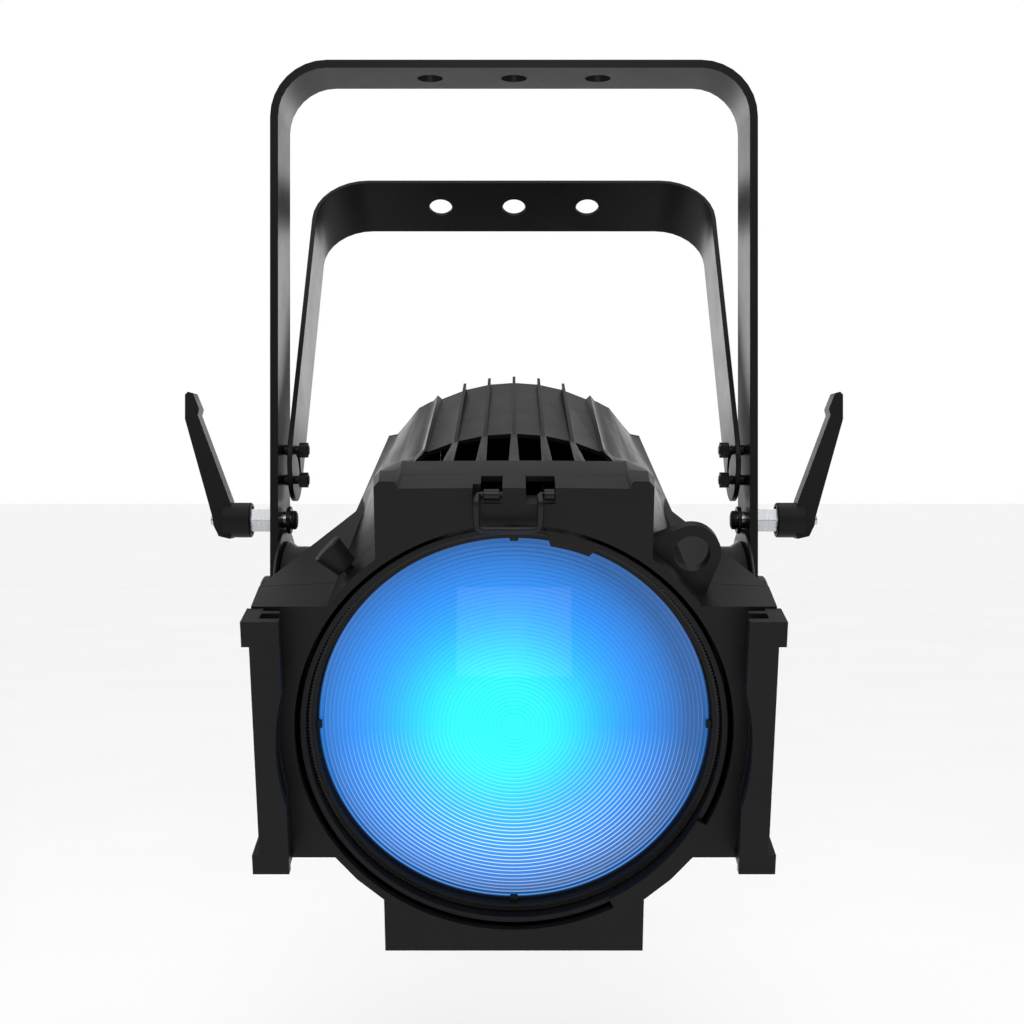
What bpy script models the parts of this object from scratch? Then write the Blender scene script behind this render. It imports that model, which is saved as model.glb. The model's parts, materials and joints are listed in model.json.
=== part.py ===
"""A fresnel spotlight on a hanging yoke, with a second bracket that lets it stand on the floor.

World frame: X to the right, Y to the back, Z up, origin at the centre of the yoke's top face.
The head has its own frame, tilted about the pivot: x to the right, u back along the lens axis
from the front face, and v up from the lens axis. All constants are in millimetres, and the
helpers turn them into metres.
"""

import math

import bmesh
import bpy
from mathutils import Matrix

MM = 0.001
GAP = 0.3  # between pieces that touch

# Hanging yoke
YOKE_HALF = 141.7
YOKE_THICK = 4.7
YOKE_RADIUS = 33.0
BAR_HALF_WIDTH = 23.0
HOLE_PITCH = 50.0
HOLE_R = 7.7
PIVOT_Z = -322.6
CLAMP_Z = -268.0
PIVOT_R = 5.9
PIVOT_BORE_R = 6.3
CLAMP_BORE_R = 5.3

# Floor bracket, about its own pivot
BRACKET_HALF = 133.0
BRACKET_THICK = 3.0
BRACKET_RADIUS = 35.0
BRACKET_HEIGHT = 228.7
BRACKET_Z = -244.1
BRACKET_LEAN = 34.5
FOOT_CENTRE = 12.4
SLOT_RADIUS = 17.8
SLOT_HALF_WIDTH = 2.9
SLOT_MARGIN = 0.6
STUD_R = 2.5
NUT_FLATS = 8.0

# Clamp levers
INSERT_FLATS = 13.4
CLAMP_R = 4.9
HUB_INNER = 156.0
HUB_R = 10.4
LEVER_HALF_THICK = 6.6

# Tilting head
TILT = 15.0
PIVOT_U = 129.7
PIVOT_V = 19.7
FRAME_R = 117.3
OPENING_R = 113.0
STOP_R = 107.5
STOP_FROM, STOP_TO = -62.0, -27.0
FRAME_DEPTH = 25.0
PLATE_THICK = 4.0
BACK_U = 330.0
WALL = 2.5
SEAM_V = 45.0
BLOCK_V = 131.4
BLOCK_BACK = 54.0
ROOF_FRONT = 157.0
ROOF_FRONT_R, ROOF_BACK_R = 122.5, 118.0
FIN_R = 123.4
FIN_PITCH = 17.4
HUB_BOSS_R = 39.0

# Optics
LENS_R = 102.6
ZOOM_IN_R, ZOOM_OUT_R = 103.2, 105.8
BARREL_IN_R, BARREL_OUT_R = 107.5, 110.5
TAB_ANGLE = 74.4
KNOB_ANGLE = 135.0
KNOB_U = 17.0
LATCH_U, LATCH_V = 4.0, 127.0

ROUND = 72  # sides of the large rings
SMALL = 24  # sides of bolts and bores

PARTS = None
CUTTERS = None

PLANE = {
    # outline axes -> head or world axes; the prism runs along the third
    "xv": Matrix(((1, 0, 0), (0, 0, -1), (0, 1, 0))),
    "uv": Matrix(((0, 0, 1), (1, 0, 0), (0, 1, 0))),
    "xu": Matrix(((1, 0, 0), (0, 1, 0), (0, 0, 1))),
}
TURN = {
    "x": Matrix(((0, 0, 1), (1, 0, 0), (0, 1, 0))),
    "u": Matrix(((1, 0, 0), (0, 0, 1), (0, -1, 0))),
    "v": Matrix(((1, 0, 0), (0, 1, 0), (0, 0, 1))),
}


# ---------------------------------------------------------------- helpers

def clear_scene():
    for obj in list(bpy.data.objects):
        bpy.data.objects.remove(obj, do_unlink=True)


def collection(name):
    made = bpy.data.collections.new(name)
    bpy.context.scene.collection.children.link(made)
    return made


def material(name, colour, roughness, metallic=0.0, alpha=1.0):
    made = bpy.data.materials.get(name)
    if made:
        return made
    made = bpy.data.materials.new(name)
    made.use_nodes = True
    shader = made.node_tree.nodes["Principled BSDF"]
    shader.inputs["Base Color"].default_value = (*colour, 1.0)
    shader.inputs["Roughness"].default_value = roughness
    shader.inputs["Metallic"].default_value = metallic
    shader.inputs["Alpha"].default_value = alpha
    return made


def frame(name, location, tilt=0.0, parent=None):
    made = bpy.data.objects.new(name, None)
    PARTS.objects.link(made)
    made.parent = parent
    made.location = [c * MM for c in location]
    made.rotation_euler = (math.radians(tilt), 0, 0)
    return made


def outward(mesh):
    """Welds the mesh and turns its faces outwards."""
    work = bmesh.new()
    work.from_mesh(mesh)
    bmesh.ops.remove_doubles(work, verts=work.verts, dist=1e-6)
    bmesh.ops.recalc_face_normals(work, faces=work.faces)
    if work.calc_volume(signed=True) < 0:
        bmesh.ops.reverse_faces(work, faces=work.faces)
    work.to_mesh(mesh)
    work.free()
    return mesh


def add(name, mesh, parent=None):
    made = bpy.data.objects.new(name, outward(mesh))
    PARTS.objects.link(made)
    made.parent = parent
    mesh.shade_smooth()
    mesh.set_sharp_from_angle(angle=math.radians(30))
    return made


def baked(obj):
    """The evaluated mesh of a scratch object, which is removed."""
    bpy.context.view_layer.update()
    graph = bpy.context.evaluated_depsgraph_get()
    mesh = bpy.data.meshes.new_from_object(obj.evaluated_get(graph))
    bpy.data.objects.remove(obj, do_unlink=True)
    return mesh


def circle(radius, centre=(0, 0), sides=SMALL, start=0.0):
    return arc(radius, start, start + 360.0 * (sides - 1) / sides, sides, centre)


def arc(radius, start, end, points, centre=(0, 0)):
    step = (end - start) / (points - 1)
    angles = [math.radians(start + step * i) for i in range(points)]
    return [(centre[0] + radius * math.cos(a), centre[1] + radius * math.sin(a)) for a in angles]


def hexagon(flats, start=0.0):
    return circle(flats / math.sqrt(3), sides=6, start=start)


def rectangle(x0, y0, x1, y1):
    return [(x0, y0), (x1, y0), (x1, y1), (x0, y1)]


def prism(name, loops, low, high, plane, parent=None):
    """An outline, and its holes, extruded from low to high along the plane's normal."""
    curve = bpy.data.curves.new(name, "CURVE")
    curve.dimensions = "2D"
    curve.fill_mode = "BOTH"
    curve.extrude = (high - low) / 2 * MM
    for loop in loops:
        spline = curve.splines.new("POLY")
        spline.points.add(len(loop) - 1)
        for point, (a, b) in zip(spline.points, loop):
            point.co = (a * MM, b * MM, 0, 1)
        spline.use_cyclic_u = True
    scratch = bpy.data.objects.new(name, curve)
    PARTS.objects.link(scratch)
    mesh = baked(scratch)
    turn = PLANE[plane].to_4x4()
    along = turn @ Matrix.Translation((0, 0, (low + high) / 2 * MM))
    if plane == "xv":
        along = turn @ Matrix.Translation((0, 0, -(low + high) / 2 * MM))
    mesh.transform(along)
    return add(name, mesh, parent)


def turned(name, profile, axis, parent=None, steps=SMALL, closed=True, centre=(0, 0, 0)):
    """A (radius, distance along the axis) profile turned about an axis."""
    mesh = bpy.data.meshes.new(name)
    edges = [(i, i + 1) for i in range(len(profile) - 1)]
    if closed:
        edges.append((len(profile) - 1, 0))
    mesh.from_pydata([(r * MM, 0, s * MM) for r, s in profile], edges, [])
    scratch = bpy.data.objects.new(name, mesh)
    PARTS.objects.link(scratch)
    screw = scratch.modifiers.new("Screw", "SCREW")
    screw.steps = screw.render_steps = steps
    screw.use_merge_vertices = True
    screw.merge_threshold = 1e-6
    mesh = baked(scratch)
    mesh.transform(Matrix.Translation([c * MM for c in centre]) @ TURN[axis].to_4x4())
    return add(name, mesh, parent)


def rod(name, radius, low, high, axis, parent=None, steps=SMALL, centre=(0, 0, 0)):
    profile = [(0, high), (radius, high), (radius, low), (0, low)]
    return turned(name, profile, axis, parent, steps, False, centre)


def ring(name, inner, outer, low, high, axis, parent=None, steps=SMALL, centre=(0, 0, 0)):
    profile = [(outer, high), (outer, low), (inner, low), (inner, high)]
    return turned(name, profile, axis, parent, steps, True, centre)


def block(name, low, high, parent=None):
    mesh = bpy.data.meshes.new(name)
    work = bmesh.new()
    bmesh.ops.create_cube(work, size=1.0)
    size = [(b - a) * MM for a, b in zip(low, high)]
    middle = [(a + b) / 2 * MM for a, b in zip(low, high)]
    bmesh.ops.scale(work, vec=size, verts=work.verts)
    bmesh.ops.translate(work, vec=middle, verts=work.verts)
    work.to_mesh(mesh)
    work.free()
    return add(name, mesh, parent)


def loft(name, sections, parent=None):
    """A solid through outlines that have the same number of points: (u, outline) pairs."""
    mesh = bpy.data.meshes.new(name)
    work = bmesh.new()
    rows = [[work.verts.new((x * MM, u * MM, v * MM)) for x, v in outline] for u, outline in sections]
    for row, after in zip(rows, rows[1:]):
        count = len(row)
        for i in range(count):
            j = (i + 1) % count
            work.faces.new((row[i], row[j], after[j], after[i]))
    bmesh.ops.triangulate(work, faces=work.faces)
    work.faces.new(rows[0])
    work.faces.new(rows[-1])
    work.to_mesh(mesh)
    work.free()
    return add(name, mesh, parent)


def tool(obj):
    """Makes an object a helper that the render leaves out."""
    if obj.name in CUTTERS.objects:
        return obj
    PARTS.objects.unlink(obj)
    CUTTERS.objects.link(obj)
    obj.hide_render = True
    obj.display_type = "WIRE"
    return obj


def merged(name, objects):
    """Several closed bodies in one helper mesh."""
    work = bmesh.new()
    parent = objects[0].parent
    for obj in objects:
        mesh = obj.data
        mesh.transform(obj.matrix_basis)
        work.from_mesh(mesh)
        bpy.data.objects.remove(obj, do_unlink=True)
    mesh = bpy.data.meshes.new(name)
    work.to_mesh(mesh)
    work.free()
    return add(name, mesh, parent)


def boolean(obj, other, operation):
    tool(other)
    modifier = obj.modifiers.new(other.name, "BOOLEAN")
    modifier.operation = operation
    modifier.solver = "EXACT"
    modifier.object = other


def cut(obj, *others):
    for other in others:
        boolean(obj, other, "DIFFERENCE")
    return obj


def join(obj, *others):
    for other in others:
        boolean(obj, other, "UNION")
    return obj


def keep(obj, other):
    boolean(obj, other, "INTERSECT")
    return obj


def mirrored(obj):
    """Reflects a piece to the left side."""
    obj.data.transform(Matrix.Scale(-1, 4, (1, 0, 0)))
    outward(obj.data)
    return obj


def on_side(obj, side):
    return obj if side > 0 else mirrored(obj)


def paint(obj, *finish):
    obj.data.materials.clear()
    obj.data.materials.append(material(*finish))
    return obj


BLACK = ("black_paint", (0.016, 0.016, 0.017), 0.42)
PLASTIC = ("black_plastic", (0.012, 0.012, 0.013), 0.5)
STEEL = ("bright_steel", (0.62, 0.63, 0.65), 0.25, 1.0)
DARK_STEEL = ("black_steel", (0.03, 0.03, 0.032), 0.35, 0.8)
ALUMINIUM = ("aluminium", (0.7, 0.71, 0.72), 0.4, 1.0)
LENS_GLASS = ("lens_glass", (0.10, 0.55, 1.0), 0.08)
EMITTER = ("emitter", (0.2, 0.9, 1.0), 0.4)
BOARD = ("circuit_board", (0.01, 0.12, 0.06), 0.5)
SCREEN = ("screen_glass", (0.01, 0.02, 0.05), 0.08)
SILVER = ("reflector_silver", (0.8, 0.8, 0.82), 0.12, 1.0)

SIDES = (("left", -1), ("right", 1))


# ---------------------------------------------------------------- yoke and floor bracket

def bar_outline(half, thick, radius, top, bottom):
    """A bent flat bar seen from the front: two arms and a top with round corners."""
    centre = half - radius
    inner = radius - thick
    left, right = (-centre, top - radius), (centre, top - radius)
    outer_side = arc(radius, 180, 90, 9, left) + arc(radius, 90, 0, 9, right)
    inner_side = arc(inner, 0, 90, 9, right) + arc(inner, 90, 180, 9, left)
    ends = half - thick
    return (
        [(-half, bottom)] + outer_side + [(half, bottom), (ends, bottom)] + inner_side + [(-ends, bottom)]
    )


def arm_outline(top, end_centre):
    """A bar's arm seen from the side, with a round lower end."""
    rounded = arc(BAR_HALF_WIDTH, 0, -180, 25, (0, end_centre))
    return [(-BAR_HALF_WIDTH, top), (BAR_HALF_WIDTH, top)] + rounded


def bolt_holes(name, top, parent=None):
    holes = [
        rod(f"{name}_{i}", HOLE_R, top - 20, top + 10, "v", parent, 32, (x, 0, 0))
        for i, x in enumerate((-HOLE_PITCH, 0, HOLE_PITCH))
    ]
    return merged(name, holes)


def hanging_yoke():
    outline = bar_outline(YOKE_HALF, YOKE_THICK, YOKE_RADIUS, 0, PIVOT_Z - BAR_HALF_WIDTH - 4)
    yoke = prism("hanging_yoke", [outline], -BAR_HALF_WIDTH, BAR_HALF_WIDTH, "xv")
    bores = [
        circle(PIVOT_BORE_R, (0, PIVOT_Z)),
        circle(CLAMP_BORE_R, (0, CLAMP_Z)),
        circle(STUD_R + GAP, (0, BRACKET_Z), 16),
        circle(STUD_R + GAP, (0, BRACKET_Z + SLOT_RADIUS), 16),
    ]
    side = prism(
        "yoke_side", [arm_outline(10, PIVOT_Z)] + bores, -YOKE_HALF - 10, YOKE_HALF + 10, "uv"
    )
    keep(yoke, side)
    cut(yoke, bolt_holes("yoke_bolt_holes", 0))
    return paint(yoke, *BLACK)


def arc_slot():
    reach = BRACKET_LEAN + SLOT_MARGIN
    first, last = 90 - reach, 90 + reach
    tip = lambda angle: (
        SLOT_RADIUS * math.cos(math.radians(angle)), SLOT_RADIUS * math.sin(math.radians(angle)))
    return (
        arc(SLOT_RADIUS + SLOT_HALF_WIDTH, first, last, 12)
        + arc(SLOT_HALF_WIDTH, last, last + 180, 7, tip(last))[1:-1]
        + arc(SLOT_RADIUS - SLOT_HALF_WIDTH, last, first, 12)
        + arc(SLOT_HALF_WIDTH, first + 180, first + 360, 7, tip(first))[1:-1]
    )


def floor_bracket():
    outline = bar_outline(BRACKET_HALF, BRACKET_THICK, BRACKET_RADIUS, BRACKET_HEIGHT, -20)
    bracket = prism("floor_bracket", [outline], -BAR_HALF_WIDTH, BAR_HALF_WIDTH, "xv")
    loops = [arm_outline(BRACKET_HEIGHT + 10, FOOT_CENTRE), circle(STUD_R + GAP, sides=16), arc_slot()]
    side = prism("bracket_side", loops, -BRACKET_HALF - 10, BRACKET_HALF + 10, "uv")
    holes = bolt_holes("bracket_bolt_holes", BRACKET_HEIGHT)
    for obj in (bracket, side, holes):
        obj.location = (0, 0, BRACKET_Z * MM)
        obj.rotation_euler = (math.radians(-BRACKET_LEAN), 0, 0)
    keep(bracket, side)
    cut(bracket, holes)
    return paint(bracket, *BLACK)


def bracket_fixings():
    shoulder_in, shoulder_out = BRACKET_HALF + GAP, YOKE_HALF - YOKE_THICK - GAP
    nut_out = BRACKET_HALF - BRACKET_THICK - 2.0
    nut_in = nut_out - 5.5
    tip = nut_in - 0.6
    for side_name, side in SIDES:
        for level, z in (("lower", BRACKET_Z), ("upper", BRACKET_Z + SLOT_RADIUS)):
            profile = [
                (0, YOKE_HALF - 0.2), (STUD_R, YOKE_HALF - 0.2), (STUD_R, shoulder_out), (3.2, shoulder_out),
                (3.2, shoulder_in), (STUD_R, shoulder_in), (STUD_R, tip), (0, tip),
            ]
            stud = turned(f"bracket_stud_{level}_{side_name}", profile, "x", steps=16, closed=False)
            nut = prism(
                f"lock_nut_{level}_{side_name}", [hexagon(NUT_FLATS, 30), circle(STUD_R + GAP, sides=16)],
                nut_in, nut_out, "uv",
            )
            for piece, finish in ((stud, DARK_STEEL), (nut, DARK_STEEL)):
                on_side(piece, side)
                piece.location = (0, 0, z * MM)
                paint(piece, *finish)


def pivots():
    cap_in, cap_out = YOKE_HALF + GAP, YOKE_HALF + 8.0
    nut_out = 126.6
    profile = [
        (0, cap_out), (20.0, cap_out), (21.5, cap_out - 1.5), (21.5, cap_in), (PIVOT_R, cap_in),
        (PIVOT_R, nut_out - 10), (0, nut_out - 10),
    ]
    for side_name, side in SIDES:
        bolt = turned(f"pivot_bolt_{side_name}", profile, "x", steps=32, closed=False)
        nut = prism(
            f"pivot_nut_{side_name}", [hexagon(19), circle(PIVOT_R + GAP)], nut_out - 8, nut_out, "uv")
        for piece in (bolt, nut):
            on_side(piece, side)
            piece.location = (0, 0, PIVOT_Z * MM)
            paint(piece, *DARK_STEEL)


def clamp_lever(side_name, side):
    """The adjustable handle: a hub with a hex pocket, and an arm that leans outwards."""
    name = f"clamp_lever_{side_name}"
    hub_profile = [
        (0, 172.0), (HUB_R, 172.0), (HUB_R, HUB_INNER + 0.6), (HUB_R - 0.6, HUB_INNER), (0, HUB_INNER)]
    lever = turned(name, hub_profile, "x", steps=32, closed=False)
    arm_points = [
        (168.0, 11.0), (187.2, 62.3), (186.3, 66.0), (190.1, 75.4), (193.1, 76.2), (194.8, 74.5),
        (194.8, 60.0), (178.6, 2.1), (177.9, -3.0), (174.8, -9.4), (168.0, -11.0),
    ]
    arm = prism(f"{name}_arm", [arm_points], -LEVER_HALF_THICK, LEVER_HALF_THICK, "xv")
    socket = rod(f"{name}_socket", 8.1, HUB_INNER - 2, 162.5, "x")
    pocket = rod(f"{name}_pocket", 5.8, 170.0, 190.0, "x")
    bore = rod(f"{name}_bore", 4.1, 160.0, 171.0, "x")
    for piece in (lever, arm, socket, pocket, bore):
        on_side(piece, side)
        piece.location = (0, 0, CLAMP_Z * MM)
    join(lever, arm)
    cut(lever, socket, pocket, bore)
    return paint(lever, *PLASTIC)


def clamps():
    hex_in, hex_out = YOKE_HALF + 0.5, 158.0
    shaft_in, shaft_out = 129.8, 173.5
    pad_in, pad_out = 132.5, 134.9
    screw_in, screw_out = 174.9, 180.5
    shaft = [
        (0, 165.0), (2.7, 165.0), (2.7, shaft_out), (3.7, shaft_out), (3.7, 157.0), (CLAMP_R, 157.0),
        (CLAMP_R, shaft_in), (0, shaft_in),
    ]
    screw = [
        (0, screw_out), (2.8, screw_out), (2.8, 176.6), (5.3, 176.6), (5.3, screw_in), (2.4, screw_in),
        (2.4, 165.6), (0, 165.6),
    ]
    for side_name, side in SIDES:
        stud = turned(f"clamp_stud_{side_name}", shaft, "x", closed=False)
        insert = prism(f"clamp_insert_{side_name}", [hexagon(INSERT_FLATS)], hex_in, hex_out, "uv")
        pad = ring(f"clamp_pad_{side_name}", CLAMP_R + GAP, 8.2, pad_in, pad_out, "x")
        end = turned(f"lever_screw_{side_name}", screw, "x", closed=False)
        for piece, finish in ((stud, STEEL), (insert, STEEL), (pad, DARK_STEEL), (end, STEEL)):
            on_side(piece, side)
            piece.location = (0, 0, CLAMP_Z * MM)
            paint(piece, *finish)
        join(stud, insert)
        clamp_lever(side_name, side)


# ---------------------------------------------------------------- head outlines

def along(u, knots):
    """The (x, v) of a feature line at depth u, between its (u, x, v) knots."""
    if u <= knots[0][0]:
        return knots[0][1:]
    for (u0, x0, v0), (u1, x1, v1) in zip(knots, knots[1:]):
        if u <= u1:
            t = (u - u0) / (u1 - u0)
            return (x0 + (x1 - x0) * t, v0 + (v1 - v0) * t)
    return knots[-1][1:]


# Feature lines of the right half, from the roof's ridge down to the bottom's middle.
RIDGE = [(BLOCK_BACK, 53.5, 131.35), (ROOF_FRONT, 53.5, 113.0), (BACK_U, 54.5, 109.0)]
GUTTER = [(BLOCK_BACK, 57.0, 131.3), (ROOF_FRONT, 56.0, 109.2), (BACK_U, 57.5, 105.0)]
LUMP_IN = [(0, 58.5, 135.0), (25, 58.5, 134.2), (BLOCK_BACK, 58.7, 131.9), (ROOF_FRONT, 58.5, 108.3),
           (BACK_U, 60.0, 104.0)]
LUMP_OUT = [(0, 66.5, 135.0), (25, 68.0, 133.6), (BLOCK_BACK, 69.1, 129.4), (ROOF_FRONT, 66.0, 104.0),
            (BACK_U, 66.0, 100.7)]
CORNER = [(0, 69.0, 132.0), (25, 71.3, 130.5), (BLOCK_BACK, 74.0, 121.0), (ROOF_FRONT, 79.0, 101.5),
          (161, 68.0, 100.6), (BACK_U, 68.0, 99.8)]
SIDE_LOW = [
    (0, 69.0, 94.9), (146, 83.6, 95.6), (ROOF_FRONT, 82.6, 98.0), (161, 74.0, 97.0), (BACK_U, 74.0, 92.3)]
CHEEK_A = [
    (0, 77.9, 87.7), (146, 83.7, 94.6), (ROOF_FRONT, 83.5, 95.0), (161, 78.0, 94.5), (BACK_U, 78.0, 87.3)]
CHEEK_B = [
    (0, 86.4, 79.3), (146, 83.75, 93.4), (ROOF_FRONT, 83.8, 93.2), (161, 81.0, 92.6), (BACK_U, 81.0, 83.8)]
CREASE = [(0, 94.1, 70.0), (146, 83.8, 92.2), (161, 83.8, 90.8), (BACK_U, 83.8, 80.5)]
EDGE = [(0, 132.0, 70.0), (25, 132.0, 72.0), (111, 90.4, 87.6), (BACK_U, 90.2, 79.2)]
EDGE_LOW = [(25, 132.0, -70.0), (111, 90.4, -68.0), (BACK_U, 90.2, -64.0)]
HAUNCH_A = [(25, 94.1, -70.0), (111, 86.0, -76.0), (BACK_U, 84.0, -72.0)]
HAUNCH_B = [(25, 82.9, -83.0), (111, 79.0, -86.0), (BACK_U, 76.0, -83.0)]
FOOT_TOP = [(25, 69.0, -94.9), (111, 69.5, -97.0), (BACK_U, 67.0, -93.0)]
FOOT = [(25, 69.0, -125.6), (BACK_U, 66.0, -112.0)]
BOTTOM = [(25, 0.0, -125.6), (BACK_U, 0.0, -112.0)]

OUTER_LINES = (RIDGE, GUTTER, LUMP_IN, LUMP_OUT, CORNER, SIDE_LOW, CHEEK_A, CHEEK_B, CREASE, EDGE,
               EDGE_LOW, HAUNCH_A, HAUNCH_B, FOOT_TOP, FOOT)
CAVITY_LINES = (LUMP_OUT, CORNER, SIDE_LOW, CREASE, EDGE, EDGE_LOW, HAUNCH_A, HAUNCH_B, FOOT_TOP, FOOT)
SHELL_STATIONS = (25.3, BLOCK_BACK, 111, 146, ROOF_FRONT, 161, BACK_U)


def crown(x, u):
    """Height of the block's flat top, which becomes the round roof behind the vents."""
    share = min(max((u - BLOCK_BACK) / (ROOF_FRONT - BLOCK_BACK), 0), 1)
    back = min(max((u - ROOF_FRONT) / (BACK_U - ROOF_FRONT), 0), 1)
    radius = ROOF_FRONT_R + (ROOF_BACK_R - ROOF_FRONT_R) * back
    flat = BLOCK_V + 0.3 * (1 - (x / 52) ** 2)
    return flat + (math.sqrt(radius * radius - x * x) - flat) * share


def outline_at(u, lines):
    right = [(x, crown(x, u)) for x in (FIN_PITCH, 2 * FIN_PITCH, 51.5)]
    right += [along(u, line) for line in lines]
    left = [(-x, v) for x, v in reversed(right)]
    return [(0, crown(0, u))] + right + [along(u, BOTTOM)] + left


def inset(points, depth):
    """The outline moved inwards by depth; the points run clockwise."""
    moved = []
    count = len(points)
    for i, (x, v) in enumerate(points):
        (x0, v0), (x1, v1) = points[i - 1], points[(i + 1) % count]
        before, after = math.hypot(x - x0, v - v0), math.hypot(x1 - x, v1 - v)
        nx0, nv0 = (v - v0) / before, -(x - x0) / before
        nx1, nv1 = (v1 - v) / after, -(x1 - x) / after
        scale = depth / (1 + nx0 * nx1 + nv0 * nv1)
        moved.append((x + (nx0 + nx1) * scale, v + (nv0 + nv1) * scale))
    return moved


def cavity(name, stations, wall, head, low, high):
    """The space inside the shell, running past both of its ends."""
    sections = [(u, inset(outline_at(u, CAVITY_LINES), wall)) for u in stations]
    sections[0] = (low, sections[0][1])
    sections[-1] = (high, sections[-1][1])
    return loft(name, sections, head)


# ---------------------------------------------------------------- head, outside

def opening_outline():
    """The front opening, with the sector that stops the zoom tab standing in from its edge."""
    wide = arc(OPENING_R, STOP_TO, STOP_FROM + 360, 86)
    return wide + arc(STOP_R, STOP_FROM + 360, STOP_TO + 360, 12)


def eyelet(head):
    """The eye for the safety cable, with webs to the block's side and to the shoulder."""
    centre, outer, hole = (90.5, 92.7), 14.9, 9.3
    outline = [(68.0, 100.0)] + arc(outer, 118, -30, 16, centre)
    outline += [(98.6, 72.0), (98.0, 70.0), (86.0, 70.0), (68.0, 86.0)]
    return prism("front_frame_eyelet", [outline, circle(hole, centre)], 16.0, 24.0, "xv", head)


def latch_recess(head):
    """Two notches in the block's front edge, and the bore that the wire latch turns in."""
    notch_left = block("latch_notch_left", (-16.6, -1, 123.4), (-5.7, 23, 140), head)
    leg_slot = block("latch_leg_slot", (-20.4, -2, 123.3), (-16.4, 8, 141), head)
    notch_right = block("latch_notch_right", (5.8, -1, 123.4), (20.4, 23, 140), head)
    bore = rod("latch_bore", 2.1, -7.0, 27.0, "x", head, 16, (0, LATCH_U, LATCH_V))
    return (notch_left, leg_slot, notch_right, bore)


def front_frame(head):
    piece = loft("front_frame", [(u, outline_at(u, OUTER_LINES)) for u in (0, FRAME_DEPTH)], head)
    inside = cavity("front_frame_cavity", (0, FRAME_DEPTH), 3.0, head, PLATE_THICK, FRAME_DEPTH + 2)
    solid_top = block("front_frame_bridge", (-30, 1, 113.5), (30, 16, 130.0), head)
    opening = prism("front_frame_opening", [opening_outline()], -2, PLATE_THICK + 2, "xv", head)
    clear = rod("front_frame_clear", OPENING_R, PLATE_THICK - 1, FRAME_DEPTH + 4, "u", head, ROUND)
    cut(piece, inside)
    join(piece, eyelet(head), solid_top)
    cut(piece, opening, clear)
    knob_hole = rod("knob_hole", 2.9, 100, 135, "v", head, 16)
    knob_hole.location = (0, KNOB_U * MM, 0)
    knob_hole.rotation_euler = (0, math.radians(90 - KNOB_ANGLE), 0)
    cut(piece, *latch_recess(head), knob_hole)
    return paint(piece, *BLACK)


def accessory_rail(head, side_name, side):
    """Two slots that open towards the middle, held by an outer wall and closed at the bottom."""
    top, bottom = 69.2, -68.4
    profile = [
        (130.2, -20), (115.2, -20), (115.2, -15), (125.5, -15), (125.5, -7.5), (116.5, -7.5),
        (116.5, -4.1), (125.5, -4.1), (125.5, -GAP), (130.2, -GAP),
    ]
    name = f"accessory_rail_{side_name}"
    rail = prism(name, [profile], bottom, top, "xu", head)
    ends = [
        block(f"{name}_top", (129.0, -20, 56.0), (134.0, -GAP, top), head),
        block(f"{name}_end", (129.0, -20, bottom), (134.0, -GAP, -57.5), head),
        block(f"{name}_stop", (116.0, -19, bottom), (130.0, -0.6, -64.5), head),
    ]
    relief = rod(f"{name}_relief", 119.4, -24, 4, "u", head, ROUND)
    for piece in [rail] + ends:
        on_side(piece, side)
    join(rail, *ends)
    cut(rail, relief)
    return paint(rail, *BLACK)


def shell_half(head, name, low, high):
    shell = loft(name, [(u, outline_at(u, OUTER_LINES)) for u in SHELL_STATIONS], head)
    inside = cavity(f"{name}_cavity", SHELL_STATIONS, WALL, head, 20, BACK_U + 5)
    cut(shell, inside)
    keep(shell, block(f"{name}_part", (-160, 0, low), (160, BACK_U + 20, high), head))
    return shell


def vent_cutters(head):
    """The gaps between the ribs, which taper from the block to the roof."""
    front, back = BLOCK_BACK + 0.8, ROOF_FRONT - 1.0
    cutters = []
    for i, far in enumerate((FIN_PITCH, 2 * FIN_PITCH, 54.5)):
        near = i * FIN_PITCH
        last = far == 54.5
        gap = [
            (near + 2.8, front), (far - (2.0 if last else 2.8), front),
            (far - (2.0 if last else 1.75), back), (near + 1.75, back),
        ]
        for side in (-1, 1):
            loop = [(side * x, u) for x, u in gap]
            cutters.append(prism(f"vent_{i}_{side}", [loop], 100, 142, "xu", head))
    return merged("vents", cutters)


def roof_fins(head):
    fins = []
    for i in range(-2, 3):
        x = i * FIN_PITCH
        top = math.sqrt(FIN_R ** 2 - x * x)
        front, back = crown(x, ROOF_FRONT), crown(x, BACK_U)
        side = [
            (148, front - 1.0), (ROOF_FRONT + 3, top), (BACK_U, top), (BACK_U, back - 1.2),
            (160, front - 1.4)]
        fins.append(prism(f"fin_{i}", [side], x - 1.0, x + 1.0, "uv", head))
    return merged("roof_fins", fins)


def housing(head):
    top = shell_half(head, "housing_top", SEAM_V + GAP / 2, 150)
    cut(top, vent_cutters(head))
    join(top, roof_fins(head))
    base = shell_half(head, "housing_base", -150, SEAM_V - GAP / 2)
    for side_name, side in SIDES:
        seat = rod(f"hub_seat_{side_name}", HUB_BOSS_R + 0.4, 90.5, 140, "x", head, 48)
        on_side(seat, side)
        seat.data.transform(Matrix.Translation((0, PIVOT_U * MM, PIVOT_V * MM)))
        cut(base, seat)
        cut(top, seat)
    paint(top, *BLACK)
    paint(base, *BLACK)


# Rear panel: centres and sizes in (x, v)
DISPLAY = (-26.0, 74.0, 27.0, 14.5)
BUTTONS = {"up": (26.0, 82.0), "down": (26.0, 66.0), "menu": (46.0, 82.0), "enter": (46.0, 66.0)}
BUTTON_R = 5.0
SOCKETS = {"power_inlet": -51.0, "power_outlet": -17.0, "data_inlet": 17.0, "data_outlet": 51.0}
SOCKET_V = -84.0
SOCKET_R = 12.0
FUSE = (66.0, -46.0, 7.5)
GRILLE_R = 43.0
PANEL_FRONT, PANEL_BACK = BACK_U + GAP, BACK_U + 4.3


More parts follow.
